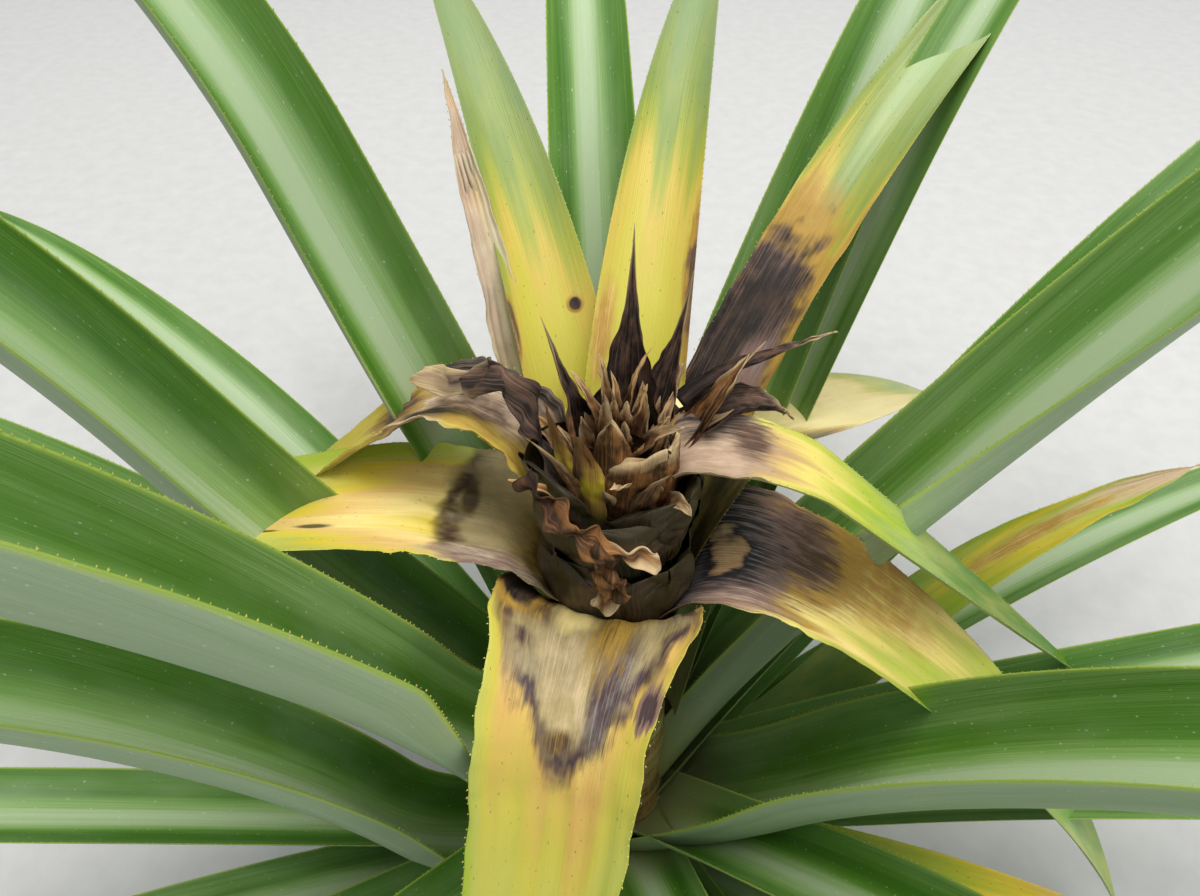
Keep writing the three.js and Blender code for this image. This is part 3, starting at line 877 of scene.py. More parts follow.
def wither(ridges, depth, reach, ragged, torn=0.0, spread=None, slim=None):
    """Gives a blade lengthwise ridges and uneven margins, coming and going at the four shares
    along the leaf in reach. depth and torn are in millimetres, ragged is a share of the half
    width, and torn is how far the end is torn back. spread widens and flattens the blade: how
    much, where and over what share of its length. slim is a table of shares along the leaf and
    of the share of its width that is left there."""

    def shape(leaf, points, across, along):
        rng = np.random.default_rng(sum(map(ord, leaf.name)))
        waves = rng.uniform(0, 2 * np.pi, 9)
        _, forward, side, up = rib_of(leaf, along)
        weight = np.interp(along, reach, (0, 1, 1, 0))
        wander = ripple(along, FOLD_WANDER, waves)
        swell = 0.6 + 0.4 * np.sin(FOLD_SWELL * along + waves[2])
        fold = swell * np.sin(ridges * np.pi * across + wander)
        run = along * leaf.length
        run = run + ripple(run, (MARGIN_DRIFT,), waves[3:])
        notch = np.sin(MARGIN_NOTCH_PACE * run * np.sign(across) + waves[4])
        notch = notch + ripple(run, MARGIN_NOTCHES, (waves[5], waves[3]))
        drawn = across * np.abs(across) ** 3 * (0.6 + 0.4 * notch * np.sign(across + 0.01))
        half = width_at(leaf, along) / 2
        back = torn * (ripple(across, TEARS, waves[6:]) + TEAR_LEVEL) * along ** TEAR_REACH
        moved = points + (weight * depth * fold)[:, None] * up
        moved = moved - (weight * ragged * half * drawn)[:, None] * side
        if spread:
            share, at, width = spread
            more = share * np.exp(-(((along - at) / width) ** 2))
            moved = moved + (more * half * across)[:, None] * side
        if slim:
            middle = blade_points(leaf, np.zeros_like(across), along)
            moved = middle + (moved - middle) * np.interp(along, *slim)[:, None]
        return moved - back[:, None] * forward

    return shape


def pressed(edge, depth, until, inward=0.4):
    """Lays the wall on one side down near the foot, where an inner leaf lies over it."""

    def shape(leaf, points, across, along):
        _, _, side, up = rib_of(leaf, along)
        weight = np.interp(along, (until / 2, until), (1, 0)) * np.maximum(0, edge * across) ** 2
        return points - (depth * weight)[:, None] * (up + inward * edge * side)

    return shape


def settle(piece, slot, *nodes):
    """Hangs a finished piece on the plant, in place of the solids it stands for."""
    piece.vertex_groups.clear()
    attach(piece, "root")
    if nodes:
        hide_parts(*nodes)


def spine_shape():
    """One marginal spine: a three-sided point, as arrays of places and faces."""
    nothing_selected()
    bpy.ops.mesh.primitive_cone_add(
        vertices=3, radius1=0.5, depth=1, end_fill_type="NOTHING", location=(0, 0, 0.5)
    )
    cone = bpy.context.object
    bpy.ops.object.transform_apply(location=True, rotation=True, scale=True)
    points = vertex_array(cone.data).copy()
    faces = np.array([list(face.vertices) for face in cone.data.polygons])
    bpy.data.objects.remove(cone)
    return points, faces


def spines_along(leaf, pitch, seed):
    """Places and directions of the spines along both margins of a leaf."""
    rng = np.random.default_rng(seed)
    along = np.arange(*SPINE_RUN, pitch / leaf.length)
    along = along + rng.uniform(*SPINE_JITTER, len(along)) * pitch / leaf.length
    _, forward, side, up = rib_of(leaf, along)
    curl = curl_at(leaf, along)[:, None]
    places, points_to, sizes = [], [], []
    for edge in (-1, 1):
        across = np.full_like(along, edge * SPINE_EDGE)
        margin = blade_points(leaf, across, along)
        shape = SHAPES.get(leaf.name, {}).get("shape")
        if shape:
            margin = shape(leaf, margin, across, along)
        outward = edge * np.cos(curl) * side + np.sin(curl) * up
        places.append(margin)
        points_to.append(SPINE_LEAN[0] * outward + SPINE_LEAN[1] * forward)
        sizes.append(SPINE_HEIGHT * rng.uniform(*SPINE_SIZES, len(along)))
    return np.vstack(places), np.vstack(points_to), np.concatenate(sizes)


def spine_piece(name, leaves, pitch, finish):
    """The spines of several leaves, joined into one piece."""
    shape_points, shape_faces = spine_shape()
    points, faces, count = [], [], 0
    for number, leaf in enumerate(leaves):
        places, directions, sizes = spines_along(leaf, pitch, number)
        for place, direction, size in zip(places, directions, sizes):
            axis = direction / np.linalg.norm(direction)
            first = np.cross(axis, SPINE_OFF_AXIS)
            first /= np.linalg.norm(first)
            second = np.cross(axis, first)
            local = shape_points * (SPINE_SLIMNESS * size, SPINE_SLIMNESS * size, size)
            points.append(place + local[:, :1] * first + local[:, 1:2] * second + local[:, 2:] * axis)
            faces.append(shape_faces + count)
            count += len(shape_points)
    mesh = bpy.data.meshes.new(name)
    mesh.from_pydata((np.vstack(points) * MM).tolist(), [], np.vstack(faces).tolist())
    mesh.materials.append(finish)
    return new_object(name, mesh)


def build_green_leaves():
    upper = green_finish("green_leaf_upper", under=False)
    lower = green_finish("green_leaf_lower", under=True)
    rng = random.Random(5)
    for leaf in CROWN_LEAVES + LOW_LEAVES:
        if leaf.name in LOOKS:
            continue
        piece = blade(leaf, (upper, lower), **SHAPES.get(leaf.name, {}))
        add_tone(piece, rng.random())
        settle(piece, "green_leaf", leaf.name)


def build_dying_leaves():
    for leaf in INNER_LEAVES + CROWN_LEAVES + LOW_LEAVES:
        look = LOOKS.get(leaf.name)
        if not look:
            continue
        upper = dying_finish(leaf.name + "_upper", look, under=False)
        lower = dying_finish(leaf.name + "_lower", look, under=True)
        piece = blade(leaf, (upper, lower), **SHAPES.get(leaf.name, {}))
        settle(piece, "dying_leaf", leaf.name)


def build_dead_leaves():
    upper = dead_finish("dead_leaf_upper", DEAD_PALE, CHARCOAL)
    lower = dead_finish("dead_leaf_lower", DEAD_TAN, UMBER)
    for leaf in DEAD_LEAVES:
        shape = wither(ridges=3, depth=1.4, reach=(0.05, 0.3, 0.9, 1), ragged=0.2, slim=DEAD_SLIM)
        piece = blade(
            leaf, (upper, lower), withered=DEAD_WITHERED, pucker=9, pucker_size=0.022, shape=shape
        )
        add_tone(piece, 0.5)
        settle(piece, "dead_tissue", leaf.name)


def bract(ring, index, between=False):
    """One pointed bract of the dead centre. Those between the ring's own are shorter and finer."""
    short = 0.8 if between else 1
    foot, bend, tip = [ring["lean"] + degrees for degrees in BRACT_BEND]
    length = ring["length"] * short
    family = Family(
        (0, BRACT_BEND_SHARE * length, length), (0, length), BRACT_CUP, 0, 1.0, 8, 28, taper=BRACT_TAPER
    )
    step = 360 / ring["count"]
    bearing = step * (index + (0.5 if between else 0)) + ring["height"]
    start = BRACT_ROOT_SHARE * HEART_CORE_RADIUS * (1 - ring["height"] / HEART_CORE_HEIGHT)
    climb = (foot, bend, tip + BRACT_VARY * (index % 3))
    name = f"bract_{ring['height']}_{index}{'b' if between else ''}"
    return Leaf(
        family, name, bearing, STEM_HEIGHT + ring["height"], length, ring["width"] * short, climb, start=start
    )


def joined(pieces, name):
    nothing_selected()
    for piece in pieces:
        piece.select_set(True)
    bpy.context.view_layer.objects.active = pieces[0]
    bpy.ops.object.join()
    return named(bpy.context.object, name)


def build_heart():
    """The dead centre: rings of dry pointed bracts, each a little out of its place."""
    # foot is how light the foot stays under the painted shade: the bracts' upper faces are painted darkest
    # deep in the heart.
    upper = dead_finish("bract_upper", BRACT_PALE, BRACT_BROWN, foot=0.0, pale_from=0.58, edge=0.5)
    lower = dead_finish("bract_lower", BRACT_PALE, BRACT_BROWN, foot=0.3, pale_from=0.58, edge=0.5)
    rng = random.Random(11)
    bracts = []
    for ring in BRACT_RINGS:
        for index in range(ring["count"]):
            for between in (False, True):
                leaf = bract(ring, index, between)
                lean = rng.uniform(-BRACT_SWAY, BRACT_SWAY)
                leaf = replace(
                    leaf, bearing=leaf.bearing + rng.uniform(-BRACT_SWAY, BRACT_SWAY),
                    length=leaf.length * rng.uniform(*BRACT_SIZES),
                    width=leaf.width * rng.uniform(*BRACT_WIDTHS),
                    climb=tuple(degrees + lean for degrees in leaf.climb),
                    turn=rng.uniform(-BRACT_TURN, BRACT_TURN), roll=rng.uniform(-BRACT_TURN, BRACT_TURN),
                )
                shape = wither(ridges=2, depth=0.6, reach=TORN_REACH, ragged=0.16)
                piece = blade(
                    leaf, (upper, lower), withered=((0, 1), (1, 1)), pucker=4, pucker_size=0.014,
                    shape=shape,
                )
                add_tone(piece, rng.random())
                bracts.append(piece)
    settle(joined(bracts, "heart_bracts"), "dead_tissue", "heart")


def build_tissue():
    """What is left of the innermost leaves round the dead centre: broad torn bases that wrap
    it, and curled scraps."""
    finishes, pieces = {}, {}
    for look, make in TISSUE_LOOKS.items():
        finishes[look] = (make(look + "_upper", True), make(look + "_lower", False))
    for look, leaf, (ridges, depth, ragged, torn) in TISSUE_LEAVES:
        shape = wither(ridges, depth, TORN_REACH, ragged, torn)
        piece = blade(leaf, finishes[look], shape=shape, **TORN)
        add_tone(piece, 0.5)
        pieces.setdefault(look, []).append(piece)
    for look, name, path, lean, width in SCRAPS:
        pieces.setdefault(look, []).append(scrap(name, path, lean, width, finishes[look]))
    for look, group in pieces.items():
        settle(joined(group, f"heart_{look}_tissue"), "dead_tissue")


def scrap(name, path, lean, width, finishes):
    """A crumpled strip of dry tissue along a path of bearing, radius and height. lean is how
    far it faces out, down and along, as parts."""
    piece, across, along = flat_sheet(name, *SCRAP_GRID)
    stops = np.linspace(0, 1, len(path))
    turned, radius, height = [np.interp(along, stops, values) for values in zip(*path)]
    turned = np.radians(turned)
    outward = np.stack([np.cos(turned), np.sin(turned), np.zeros_like(turned)], axis=1)
    sideways = np.stack([-np.sin(turned), np.cos(turned), np.zeros_like(turned)], axis=1)
    place = outward * radius[:, None] + np.stack([0 * height, 0 * height, height], axis=1)
    facing = outward * lean[0] + np.array([0, 0, -lean[1]]) + sideways * lean[2]
    nicks = 1 + ripple(along, (SCRAP_NICKS,), (0,))
    half = width / 2 * (0.55 + 0.45 * np.sin(np.pi * along)) * nicks
    points = place + facing * (across * half)[:, None]
    points += outward * ripple(along, SCRAP_CURLS, (2 * across, 0))[:, None]
    place_vertices(piece.data, points * MM)
    set_uv(piece.data, "place", across * half * MM, along * SCRAP_RUN)
    crumple(piece, np.ones_like(along), SCRAP_PUCKER * MM, SCRAP_PUCKER_SIZE)
    thicken(piece, finishes, SCRAP_WALL * MM, np.ones_like(along))
    smooth_out(piece)
    add_tone(piece, 0.5)
    return piece


def build_stem():
    """The stem: a cylinder whose upright edges are cut, so that its outline can follow the taper."""
    nothing_selected()
    bpy.ops.mesh.primitive_cylinder_add(
        vertices=STEM_SIDES, radius=1, depth=1, location=(0, 0, 0), end_fill_type="TRIFAN"
    )
    piece = named(bpy.context.object, "stem_core")
    bpy.ops.object.mode_set(mode="EDIT")
    bpy.ops.mesh.select_mode(type="EDGE")
    bpy.ops.mesh.select_all(action="DESELECT")
    bpy.ops.object.mode_set(mode="OBJECT")
    for edge in piece.data.edges:
        low, high = [piece.data.vertices[v].co.z for v in edge.vertices]
        edge.select = abs(low - high) > 0.5
    bpy.ops.object.mode_set(mode="EDIT")
    bpy.ops.mesh.subdivide(number_cuts=STEM_CUTS)
    bpy.ops.object.mode_set(mode="OBJECT")
    points = vertex_array(piece.data)
    height = (points[:, 2] + 0.5) * STEM_HEIGHT
    around = np.arctan2(points[:, 1], points[:, 0])
    straight = stem_radius(height) + STEM_BULGE * np.sin(np.pi * height / STEM_HEIGHT)
    shoulder = np.clip((STEM_HEIGHT - height) / STEM_SHOULDER, 0, 1)
    radius = straight - STEM_SHOULDER * (1 - np.sqrt(1 - (1 - shoulder) ** 2))
    scars = SCAR_DEPTH * np.abs(np.sin(height / SCAR_PITCH * np.pi + around * 2))
    radius = (radius - scars) * np.hypot(points[:, 0], points[:, 1])
    placed = np.stack([radius * np.cos(around), radius * np.sin(around), height], axis=1)
    place_vertices(piece.data, placed * MM)
    piece.data.materials.append(stem_finish())
    select_only(piece)
    bpy.ops.object.shade_smooth_by_angle(angle=math.radians(STEM_CREASE))
    settle(piece, "stem", "stem")


def build_stage():
    nothing_selected()
    bpy.ops.mesh.primitive_plane_add(size=FLOOR_SIZE, location=(0, 0, -FLOOR_DROP))
    floor = named(bpy.context.object, "floor")
    floor.data.materials.append(grainy_finish("pale_floor", FLOOR_GRAIN, 4, FLOOR_TONES, 0.8, 0.05))


def add_area_light(name, place, target, size, power, colour=(1, 1, 1)):
    light = bpy.data.lights.new(name, "AREA")
    light.size = size
    light.energy = power
    light.color = colour
    lamp = new_object(name, light)
    lamp.location = place
    lamp.rotation_euler = (Vector(target) - Vector(place)).to_track_quat("-Z", "Y").to_euler()


def light_scene():
    world = bpy.data.worlds.new("soft_daylight")
    world.use_nodes = True
    background = world.node_tree.nodes["Background"]
    background.inputs["Color"].default_value = SKY_COLOUR
    background.inputs["Strength"].default_value = SKY_STRENGTH
    bpy.context.scene.world = world
    add_area_light("key", **KEY_LIGHT)
    add_area_light("fill", **FILL_LIGHT)
    bpy.context.scene.view_settings.view_transform = "Standard"


def add_camera():
    lens = bpy.data.cameras.new("camera")
    lens.lens = CAMERA_LENS
    lens.sensor_width = SENSOR_WIDTH
    lens.clip_start = 0.01
    camera = new_object("camera", lens)
    camera.location = CAMERA_PLACE
    camera.rotation_euler = (math.radians(CAMERA_PITCH), 0, 0)
    bpy.context.scene.camera = camera


# How the dying leaves are coloured, by name

LOOKS = {
    "leaf_upright_left": Look(
        ((0.15, OCHRE), (0.3, DULL_YELLOW), (0.42, HIGH_YELLOW), (0.5, HIGH_PEACH), (0.56, HIGH_LIME),
         (0.64, HIGH_GREEN), (0.8, HIGH_FROST)),
        (
            Blotch((0.76, 0.414), (0.08, 0.009), UMBER, CHARCOAL, 0.3, 0.2, rim=(OCHRE, 0.35)),
            Blotch((0.0, 0.4), (0.07, 0.035), TAN, UMBER, 0.4, 0.2, rim=(OCHRE, 0.3)),
            Blotch((0.42, 0.25), (0.16, 0.06), OCHRE, UMBER, 0.9, 0.5),
        ),
        edge_lead=0.14, bloom=0.12,
    ),
    "leaf_upright_right": Look(
        ((0.15, OCHRE), (0.3, DULL_YELLOW), (0.42, HIGH_YELLOW), (0.55, HIGH_PEACH), (0.6, HIGH_LIME),
         (0.66, HIGH_GREEN), (0.8, HIGH_FROST)),
        (
            Blotch((1.0, 0.42), (0.11, 0.085), BRUISE, UMBER, 0.8, 0.3, rim=(OCHRE, 0.5)),
            Blotch((0.12, 0.36), (0.1, 0.05), PEACH, OCHRE, 0.8, 0.6),
        ),
        edge_lead=0.06, bloom=0.12,
    ),
    "leaf_scorched_right": Look(
        ((0.1, OCHRE), (0.3, OCHRE), (0.325, HIGH_PEACH), (0.35, HIGH_LIME), (0.4, HIGH_GREEN),
         (0.5, FROST_GREEN), (0.7, BLOOM_AND_SHEEN_GREEN)),
        (
            Blotch((0.34, 0.245), (0.6, 0.108), BRUISE, CHARCOAL, 0.5, 0.15, rim=(OCHRE, 0.35), mottle=0.3),
            Blotch((0.36, 0.262), (0.3, 0.055), UMBER, CHARCOAL, 0.8, 0.4),
            Blotch((0.62, 0.21), (0.2, 0.05), SMOKE, BRUISE, 0.9, 0.5, streaky=0.7),
            Blotch((0.3, 0.165), (0.4, 0.03), PEACH, OCHRE, 0.7, 0.5),
        ),
        edge_lead=-0.03, bloom=0.12,
    ),
    "leaf_withered_back": Look(
        ((0.2, PEACH), (0.4, STRAW), (0.7, SCORCH_PALE), (0.95, PINK_GREY)),
        (Blotch((0.2, 0.72), (0.3, 0.2), SCORCH_PALE, PINK_GREY, 0.7, 0.6),),
        edge_lead=0.0, streaks=0.2,
    ),
    "leaf_yellow_right": Look(
        ((0.14, WET_OLIVE), (0.24, UMBER), (0.28, OCHRE), (0.33, PALE_CREAM), (0.56, PALE_CREAM),
         (0.66, CREAM), (0.76, YELLOW_GREEN), (0.92, PALE_GREEN)),
        (Blotch((0.45, 0.42), (0.3, 0.16), CREAM, PALE_CREAM, 0.6, 0.7),),
        edge_lead=0.1, tilt=-0.3,
    ),
    "leaf_bent_right": Look(
        ((0.16, WET_OLIVE), (0.22, UMBER), (0.27, DRIED), (0.33, DRIED), (0.37, TAN), (0.42, PALE_YELLOW),
         (0.5, LIME), (0.62, SOFT_GREEN), (0.8, LEAF_GREEN)),
        (
            Blotch((0.5, 0.265), (1.0, 0.07), PINK_GREY, DRIED, 0.7, 0.3, mottle=0.5),
            Blotch((0.08, 0.29), (0.2, 0.04), ASH, CHARCOAL, 1.4, 0.5, mottle=0.2, streaky=0.9),
            Blotch((0.3, 0.325), (0.22, 0.02), BRUISE, UMBER, 1.2, 0.5, mottle=0.3, streaky=0.9),
            Blotch((0.9, 0.16), (0.24, 0.05), UMBER, CHARCOAL, 1.4, 0.4, streaky=0.9),
        ),
        edge_lead=0.12,
    ),
    "leaf_withered_left": Look(
        ((0.16, STRAW), (0.3, UMBER), (0.36, PINK_GREY), (0.5, STRAW), (0.54, OCHRE), (0.6, YELLOW),
         (0.72, YELLOW), (0.84, LIME)),
        (
            Blotch((0.5, 0.39), (0.9, 0.09), PALE_PINK, DRIED, 0.8, 0.3, mottle=0.6),
            Blotch((0.4, 0.36), (0.3, 0.05), DRIED, UMBER, 1.2, 0.5, mottle=0.5),
            Blotch((0.6, 0.49), (0.3, 0.045), BRUISE, UMBER, 1.3, 0.4,
                   rim=(OCHRE, 0.6), mottle=0.3, streaky=0.8),
            Blotch((0.95, 0.36), (0.2, 0.1), ASH, CHARCOAL, 0.7, 0.4),
            Blotch((0.14, 0.31), (0.24, 0.08), DULL_YELLOW, OCHRE, 0.9, 0.4),
            Blotch((0.3, 0.42), (0.1, 0.05), UMBER, CHARCOAL, 0.9, 0.4),
        ),
        streaks=0.15,
    ),
    "leaf_yellow_left": Look(
        ((0.2, OCHRE), (0.27, YELLOW), (0.36, CREAM), (0.44, PEACH), (0.5, YELLOW), (0.57, YELLOW_GREEN),
         (0.68, LIME)),
        (
            Blotch((0.5, 0.11), (0.9, 0.19), WET_STRAW, GREY_ROT, 0.14, 0.03,
                   rim=(ROT_EDGE, 0.1), mottle=0.75, gloss=0.3, streaky=0.1),
            Blotch((0.62, 0.278), (0.16, 0.009), OLIVE_ROT, ROT_EDGE, 0.8, 0.5,
                   mottle=0.6, gloss=0.3, streaky=0.2),
            Blotch((0.5, 0.13), (0.8, 0.06), OCHRE, OLIVE_ROT, 0.5, 0.5, mottle=0.6, gloss=0.3, streaky=0.3),
            Blotch((0.25, 0.16), (0.3, 0.06), OCHRE, OLIVE_ROT, 0.5, 0.4, mottle=0.7, gloss=0.3),
            Blotch((0.12, 0.25), (0.14, 0.05), SCORCH_PALE, BRUISE, 0.9, 0.5),
            Blotch((0.31, 0.433), (0.02, 0.02), UMBER, OLIVE_ROT, 0.8, 0.5),
            Blotch((0.27, 0.49), (0.015, 0.02), UMBER, OLIVE_ROT, 0.8, 0.5),
            Blotch((0.25, 0.56), (0.015, 0.03), UMBER, OLIVE_ROT, 0.8, 0.5),
        ),
        edge_lead=0.28, tilt=0.12,
    ),
    "leaf_front_hanging": Look(
        ((0.2, FOOT_PALE), (0.3, PALE_YELLOW), (0.38, DULL_PEACH), (0.5, DULL_YELLOW),
         (0.6, YELLOW_GREEN), (0.72, LIME)),
        (
            Blotch((0.5, 0.305), (0.15, 0.066), STRAW, GREY_ROT, 0.6, 0.2,
                   rim=(PURPLE, 0.4), mottle=0.75, gloss=0.3),
            Blotch((0.5, 0.19), (0.44, 0.15), WET_STRAW, GREY_ROT, 0.4, 0.1,
                   rim=(PURPLE, 0.2), mottle=0.75, gloss=0.3),
            Blotch((0.52, 0.3), (0.16, 0.05), STRAW, WET_STRAW, 0.6, 0.3, mottle=0.75, gloss=0.3),
            Blotch((0.5, 0.185), (0.4, 0.03), OCHRE, OLIVE_ROT, 0.9, 0.5),
            Blotch((0.34, 0.29), (0.09, 0.06), SMOKE, PURPLE, 0.9, 0.4, streaky=0.9),
            Blotch((0.6, 0.27), (0.14, 0.04), STRAW, GREY_ROT, 0.9, 0.5),
            Blotch((0.75, 0.22), (0.1, 0.03), OCHRE, UMBER, 0.9, 0.5),
            Blotch((0.4, 0.235), (0.1, 0.05), OLIVE_ROT, OCHRE, 1.3, 0.6, streaky=0.9),
            Blotch((0.6, 0.225), (0.09, 0.022), PALE_CREAM, CREAM, 1.0, 0.5),
            Blotch((0.53, 0.35), (0.07, 0.01), OCHRE, UMBER, 1.2, 0.5, streaky=0.7),
            Blotch((0.08, 0.31), (0.07, 0.016), UMBER, PURPLE, 1.2, 0.3, rim=(BRUISE, 0.4), streaky=0.8),
            Blotch((0.9, 0.215), (0.12, 0.03), UMBER, CHARCOAL, 0.6, 0.3, rim=(OCHRE, 0.3)),
        ),
        edge_lead=0.22, bloom=0.12,
    ),
    "leaf_front_right": Look(
        ((0.26, BRUISE), (0.32, OCHRE), (0.36, CREAM), (0.41, PALE_YELLOW), (0.45, YELLOW_GREEN),
         (0.52, LIME), (0.62, SOFT_GREEN)),
        (
            Blotch((0.2, 0.37), (0.26, 0.09), PALE_YELLOW, AMBER, 0.8, 0.6, streaky=0.8),
            Blotch((0.26, 0.285), (0.32, 0.06), BRUISE, UMBER, 0.8, 0.6,
                   rim=(OCHRE, 0.4), mottle=0.5, streaky=0.8),
            Blotch((0.4, 0.08), (0.84, 0.185), SMOKE, INK, 0.6, 0.3,
                   rim=(BRUISE, 0.16), mottle=0.2, streaky=0.8),
            Blotch((0.75, 0.23), (0.2, 0.035), PINK_GREY, BRUISE, 1.2, 0.5, streaky=0.9),
            Blotch((0.42, 0.2), (0.34, 0.07), SMOKE, INK, 0.9, 0.4, mottle=0.15, streaky=0.8),
            Blotch((0.48, 0.214), (0.19, 0.018), STRAW, TAN, 1.3, 0.1,
                   rim=(INK, 0.5), mottle=0.6, streaky=0.35),
        ),
        edge_lead=0.0, tilt=0.2,
    ),
    "leaf_low_right_dying": Look(
        ((0.4, SOFT_GREEN), (0.6, LIME), (0.7, YELLOW), (0.8, LIME), (0.9, STRAW), (0.98, PINK_GREY)),
        (Blotch((0.5, 0.76), (0.13, 0.13), PEACH, OCHRE, 1.2, 0.6, streaky=0.9),),
        edge_lead=-0.1,
    ),
    "leaf_low_dried_tip": Look(
        ((0.3, LEAF_GREEN), (0.46, LIME), (0.56, YELLOW), (0.66, PEACH), (0.78, STRAW), (0.92, TAN)),
        edge_lead=0.08,
    ),
}

# How some blades are withered and puckered, or pressed down by their neighbours, by name

SHAPES = {
    "leaf_back_left": dict(shape=pressed(-1, 30, 0.5)),
    "leaf_front_left": dict(shape=pressed(-1, 34, 0.36)),
    "leaf_right": dict(shape=pressed(1, 8, 0.52, 5.0)),
    "leaf_front_hanging": dict(
        withered=((0.1, 0.18, 0.24, 0.4, 0.5), (0, 0.8, 1, 0.5, 0)), pucker=5,
        shape=wither(
            ridges=7, depth=1.0, reach=(0.12, 0.2, 0.4, 0.55), ragged=0.04, spread=(0.24, 0.23, 0.05)
        ),
    ),
    "leaf_front_right": dict(
        withered=((0.05, 0.15, 0.25, 0.35), (0.4, 1, 0.8, 0)), pucker=6,
        shape=wither(ridges=17, depth=1.1, reach=(0.05, 0.12, 0.27, 0.4), ragged=0.05),
    ),
    "leaf_bent_right": dict(
        withered=((0.05, 0.15, 0.3, 0.42), (0.5, 1, 0.8, 0)), pucker=9,
        shape=wither(ridges=11, depth=1.0, reach=(0.05, 0.12, 0.3, 0.42), ragged=0.12),
    ),
    "leaf_withered_left": dict(
        withered=((0.05, 0.15, 0.45, 0.7), (0.5, 1, 0.9, 0)), pucker=11,
        shape=wither(ridges=7, depth=1.4, reach=(0.05, 0.12, 0.5, 0.75), ragged=0.16),
    ),
    "leaf_yellow_left": dict(
        withered=((0.1, 0.2, 0.3, 0.4), (0.5, 1, 0.8, 0)), pucker=5,
        shape=wither(ridges=7, depth=0.9, reach=(0.06, 0.12, 0.3, 0.42), ragged=0.05),
    ),
    "leaf_scorched_right": dict(
        withered=((0.1, 0.18, 0.32, 0.4), (0.2, 1, 0.8, 0)), pucker=6,
        shape=wither(ridges=13, depth=1.1, reach=(0.1, 0.16, 0.32, 0.4), ragged=0.06),
    ),
    "leaf_withered_back": dict(
        withered=((0.2, 0.4, 1), (0.2, 0.8, 1)), pucker=6,
        shape=wither(ridges=5, depth=1.0, reach=(0.1, 0.3, 0.9, 1), ragged=0.1),
    ),
    "leaf_low_dried_tip": dict(
        withered=((0.6, 0.75, 1), (0, 0.8, 1)), pucker=16, pucker_size=0.04,
        shape=wither(ridges=5, depth=1.4, reach=(0.6, 0.75, 0.95, 1), ragged=0.12),
    ),
    "leaf_low_right_dying": dict(
        withered=((0.65, 0.8, 1), (0, 0.7, 1)), pucker=9, pucker_size=0.04,
        shape=wither(ridges=5, depth=1.0, reach=(0.65, 0.8, 0.95, 1), ragged=0.05),
    ),
}

# What is left of the innermost leaves: their families, finishes and colours

SHEATH = Family((0, 60, 120), (0, 120), (86, 66), 0, 1.6, 30, 44, taper=9)
SCRAP_LEAF = Family((0, 30, 90), (0, 90), (70, 40), 0, 1.0, 12, 40, taper=1.3)
TISSUE_LOOKS = {
    "olive": lambda name, upper: dying_finish(name, OLIVE_LOOK, not upper),
    "yellow": lambda name, upper: dying_finish(name, YELLOW_LOOK, not upper),
    # foot is how light the foot stays under dead_finish's painted shade, darker on the upper faces.
    "tan": lambda name, upper: dead_finish(
        name, BRACT_TAN, BRACT_DARK, foot=0.1 if upper else 0.5, pale_from=0.95
    ),
    "grey": lambda name, upper: dead_finish(name, DEAD_PALE, CHARCOAL, foot=0.1 if upper else 0.5),
}
OLIVE_LOOK = Look(
    ((0.1, WET_OLIVE), (0.4, SHEATH_OLIVE), (0.6, SHEATH_GREEN), (0.8, WET_OLIVE), (0.98, SHEATH_OLIVE)),
    (
        Blotch((0.3, 0.5), (0.24, 0.3), SHEATH_GREEN, CHARCOAL, 0.8, 0.5, rim=(UMBER, 0.3), gloss=0.25),
        Blotch((0.78, 0.6), (0.24, 0.3), UMBER, CHARCOAL, 0.8, 0.5, gloss=0.25),
        Blotch((0.55, 0.3), (0.12, 0.2), OCHRE, WET_OLIVE, 0.8, 0.5, gloss=0.25),
    ),
    streaks=0.3, wax=0.0, bloom=0.0,
)
YELLOW_LOOK = Look(
    ((0.1, OLIVE_ROT), (0.35, OCHRE), (0.5, YELLOW), (0.66, OCHRE), (0.85, BRACT_BROWN)),
    (Blotch((0.7, 0.7), (0.3, 0.2), BRACT_TAN, UMBER, 0.8, 0.4),),
    streaks=0.4, wax=0.0, bloom=0.1,
)

# Torn leaves round the heart: each with its ridges, their depth, how ragged it is and how far
# its end is torn back, as wither() takes them

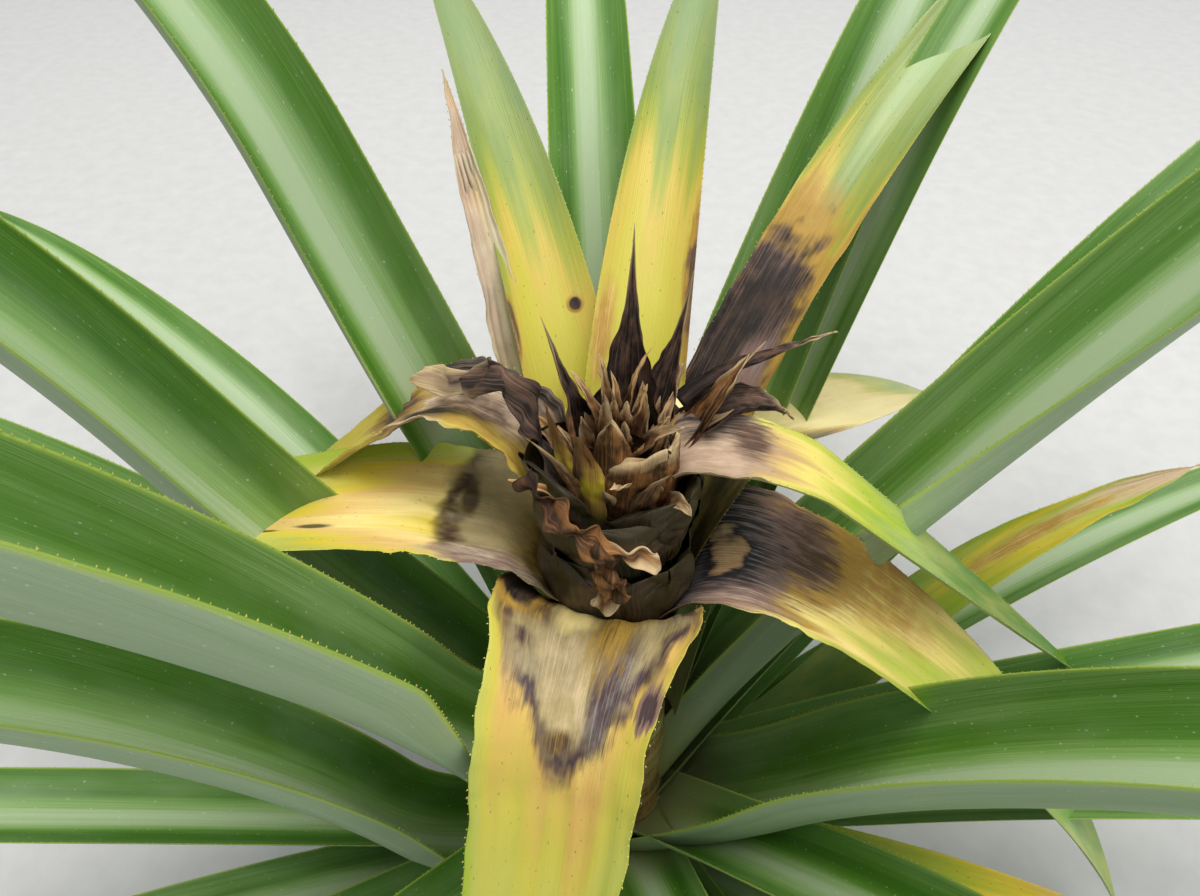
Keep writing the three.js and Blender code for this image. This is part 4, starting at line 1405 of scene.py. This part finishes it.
TORN = {"withered": ((0, 0.5, 1), (0, 0.4, 1)), "pucker": 8, "pucker_size": 0.02}
TORN_REACH = (0, 0.3, 0.9, 1)
TISSUE_LEAVES = (
    ("olive", Leaf(SHEATH, "collar_left", 232, 238, 112, 92, (70, 78, 92), start=28, turn=10, roll=-14),
     (4, 1.2, 0.04, 5)),
    ("olive", Leaf(SHEATH, "collar_right", 297, 236, 104, 88, (70, 78, 92), start=28, turn=-8, roll=12),
     (4, 1.2, 0.04, 5)),
    ("olive", Leaf(SHEATH, "sheath_front", 244, 286, 90, 92, (77, 71, 72), start=29), (4, 1.0, 0.04, 3)),
    ("olive", Leaf(SHEATH, "sheath_right", 312, 296, 78, 80, (80, 76, 74), start=27), (4, 1.2, 0.05, 4)),
    ("olive", Leaf(SHEATH, "sheath_left", 190, 296, 84, 90, (80, 76, 66), start=28), (4, 1.2, 0.05, 3)),
    ("olive", Leaf(SHEATH, "sheath_back", 70, 290, 90, 110, (82, 78, 74), start=27), (4, 1.0, 0.05, 3)),
    ("tan", Leaf(SHEATH, "bowl", 304, 335, 62, 66, (86, 78, 52), start=25), (3, 1.0, 0.1, 3)),
    ("tan", Leaf(SCRAP_LEAF, "front_bract", 258, 352, 66, 42, (92, 90, 90), start=26), (7, 0.5, 0.1, 3)),
    ("yellow", Leaf(SCRAP_LEAF, "front_left_bract", 234, 344, 62, 40, (88, 84, 84), start=27),
     (3, 0.8, 0.1, 0)),
    ("yellow", Leaf(SCRAP_LEAF, "left_bract", 204, 340, 74, 44, (88, 82, 82), start=28), (3, 0.8, 0.15, 0)),
    ("tan", Leaf(SCRAP_LEAF, "right_bract", 14, 346, 76, 30, (78, 62, 44), start=26, turn=20),
     (3, 1.0, 0.2, 0)),
    ("grey", Leaf(SCRAP_LEAF, "thin_spine", 33, 386, 112, 12, (30, -4, -12), start=34, turn=8),
     (2, 0.8, 0.4, 0)),
    ("grey", Leaf(SCRAP_LEAF, "hanging_flap", 24, 374, 66, 40, (30, -20, -70), start=40), (4, 1.4, 0.2, 5)),
)

# Curled scraps: look, name, path of bearings, radii and heights, lean and width

SCRAPS = (
    ("tan", "curled_margin", ((220, 56, 392), (236, 57, 385), (250, 60, 378), (266, 63, 373), (284, 65, 368)),
     (0.7, 0.6, 0), 12),
    ("grey", "dark_fold", ((212, 34, 366), (186, 36, 380), (174, 42, 395), (167, 57, 406), (166, 69, 402),
                           (168, 80, 399), (168, 96, 402)), (0.2, 0.75, 0.6), 17),
    ("tan", "hanging_bit", ((263, 64, 376), (264, 67, 362), (266, 65, 350), (262, 66, 338)),
     (0.1, 0.1, 1), 14),
)

nothing_selected()
add_camera()
build_stage()
light_scene()
build_stem()
build_heart()
build_tissue()
build_dead_leaves()
build_dying_leaves()
build_green_leaves()
spines = grainy_finish("spine_points", SPINE_GRAIN, 3, SPINE_TONES, 0.5, 0.3)
settle(spine_piece("crown_spines", CROWN_LEAVES, SPINE_PITCH, spines), "green_leaf")
settle(spine_piece("low_spines", LOW_LEAVES, SPINE_PITCH, spines), "green_leaf")
settle(spine_piece("inner_spines", INNER_LEAVES, INNER_SPINE_PITCH, spines), "dying_leaf")
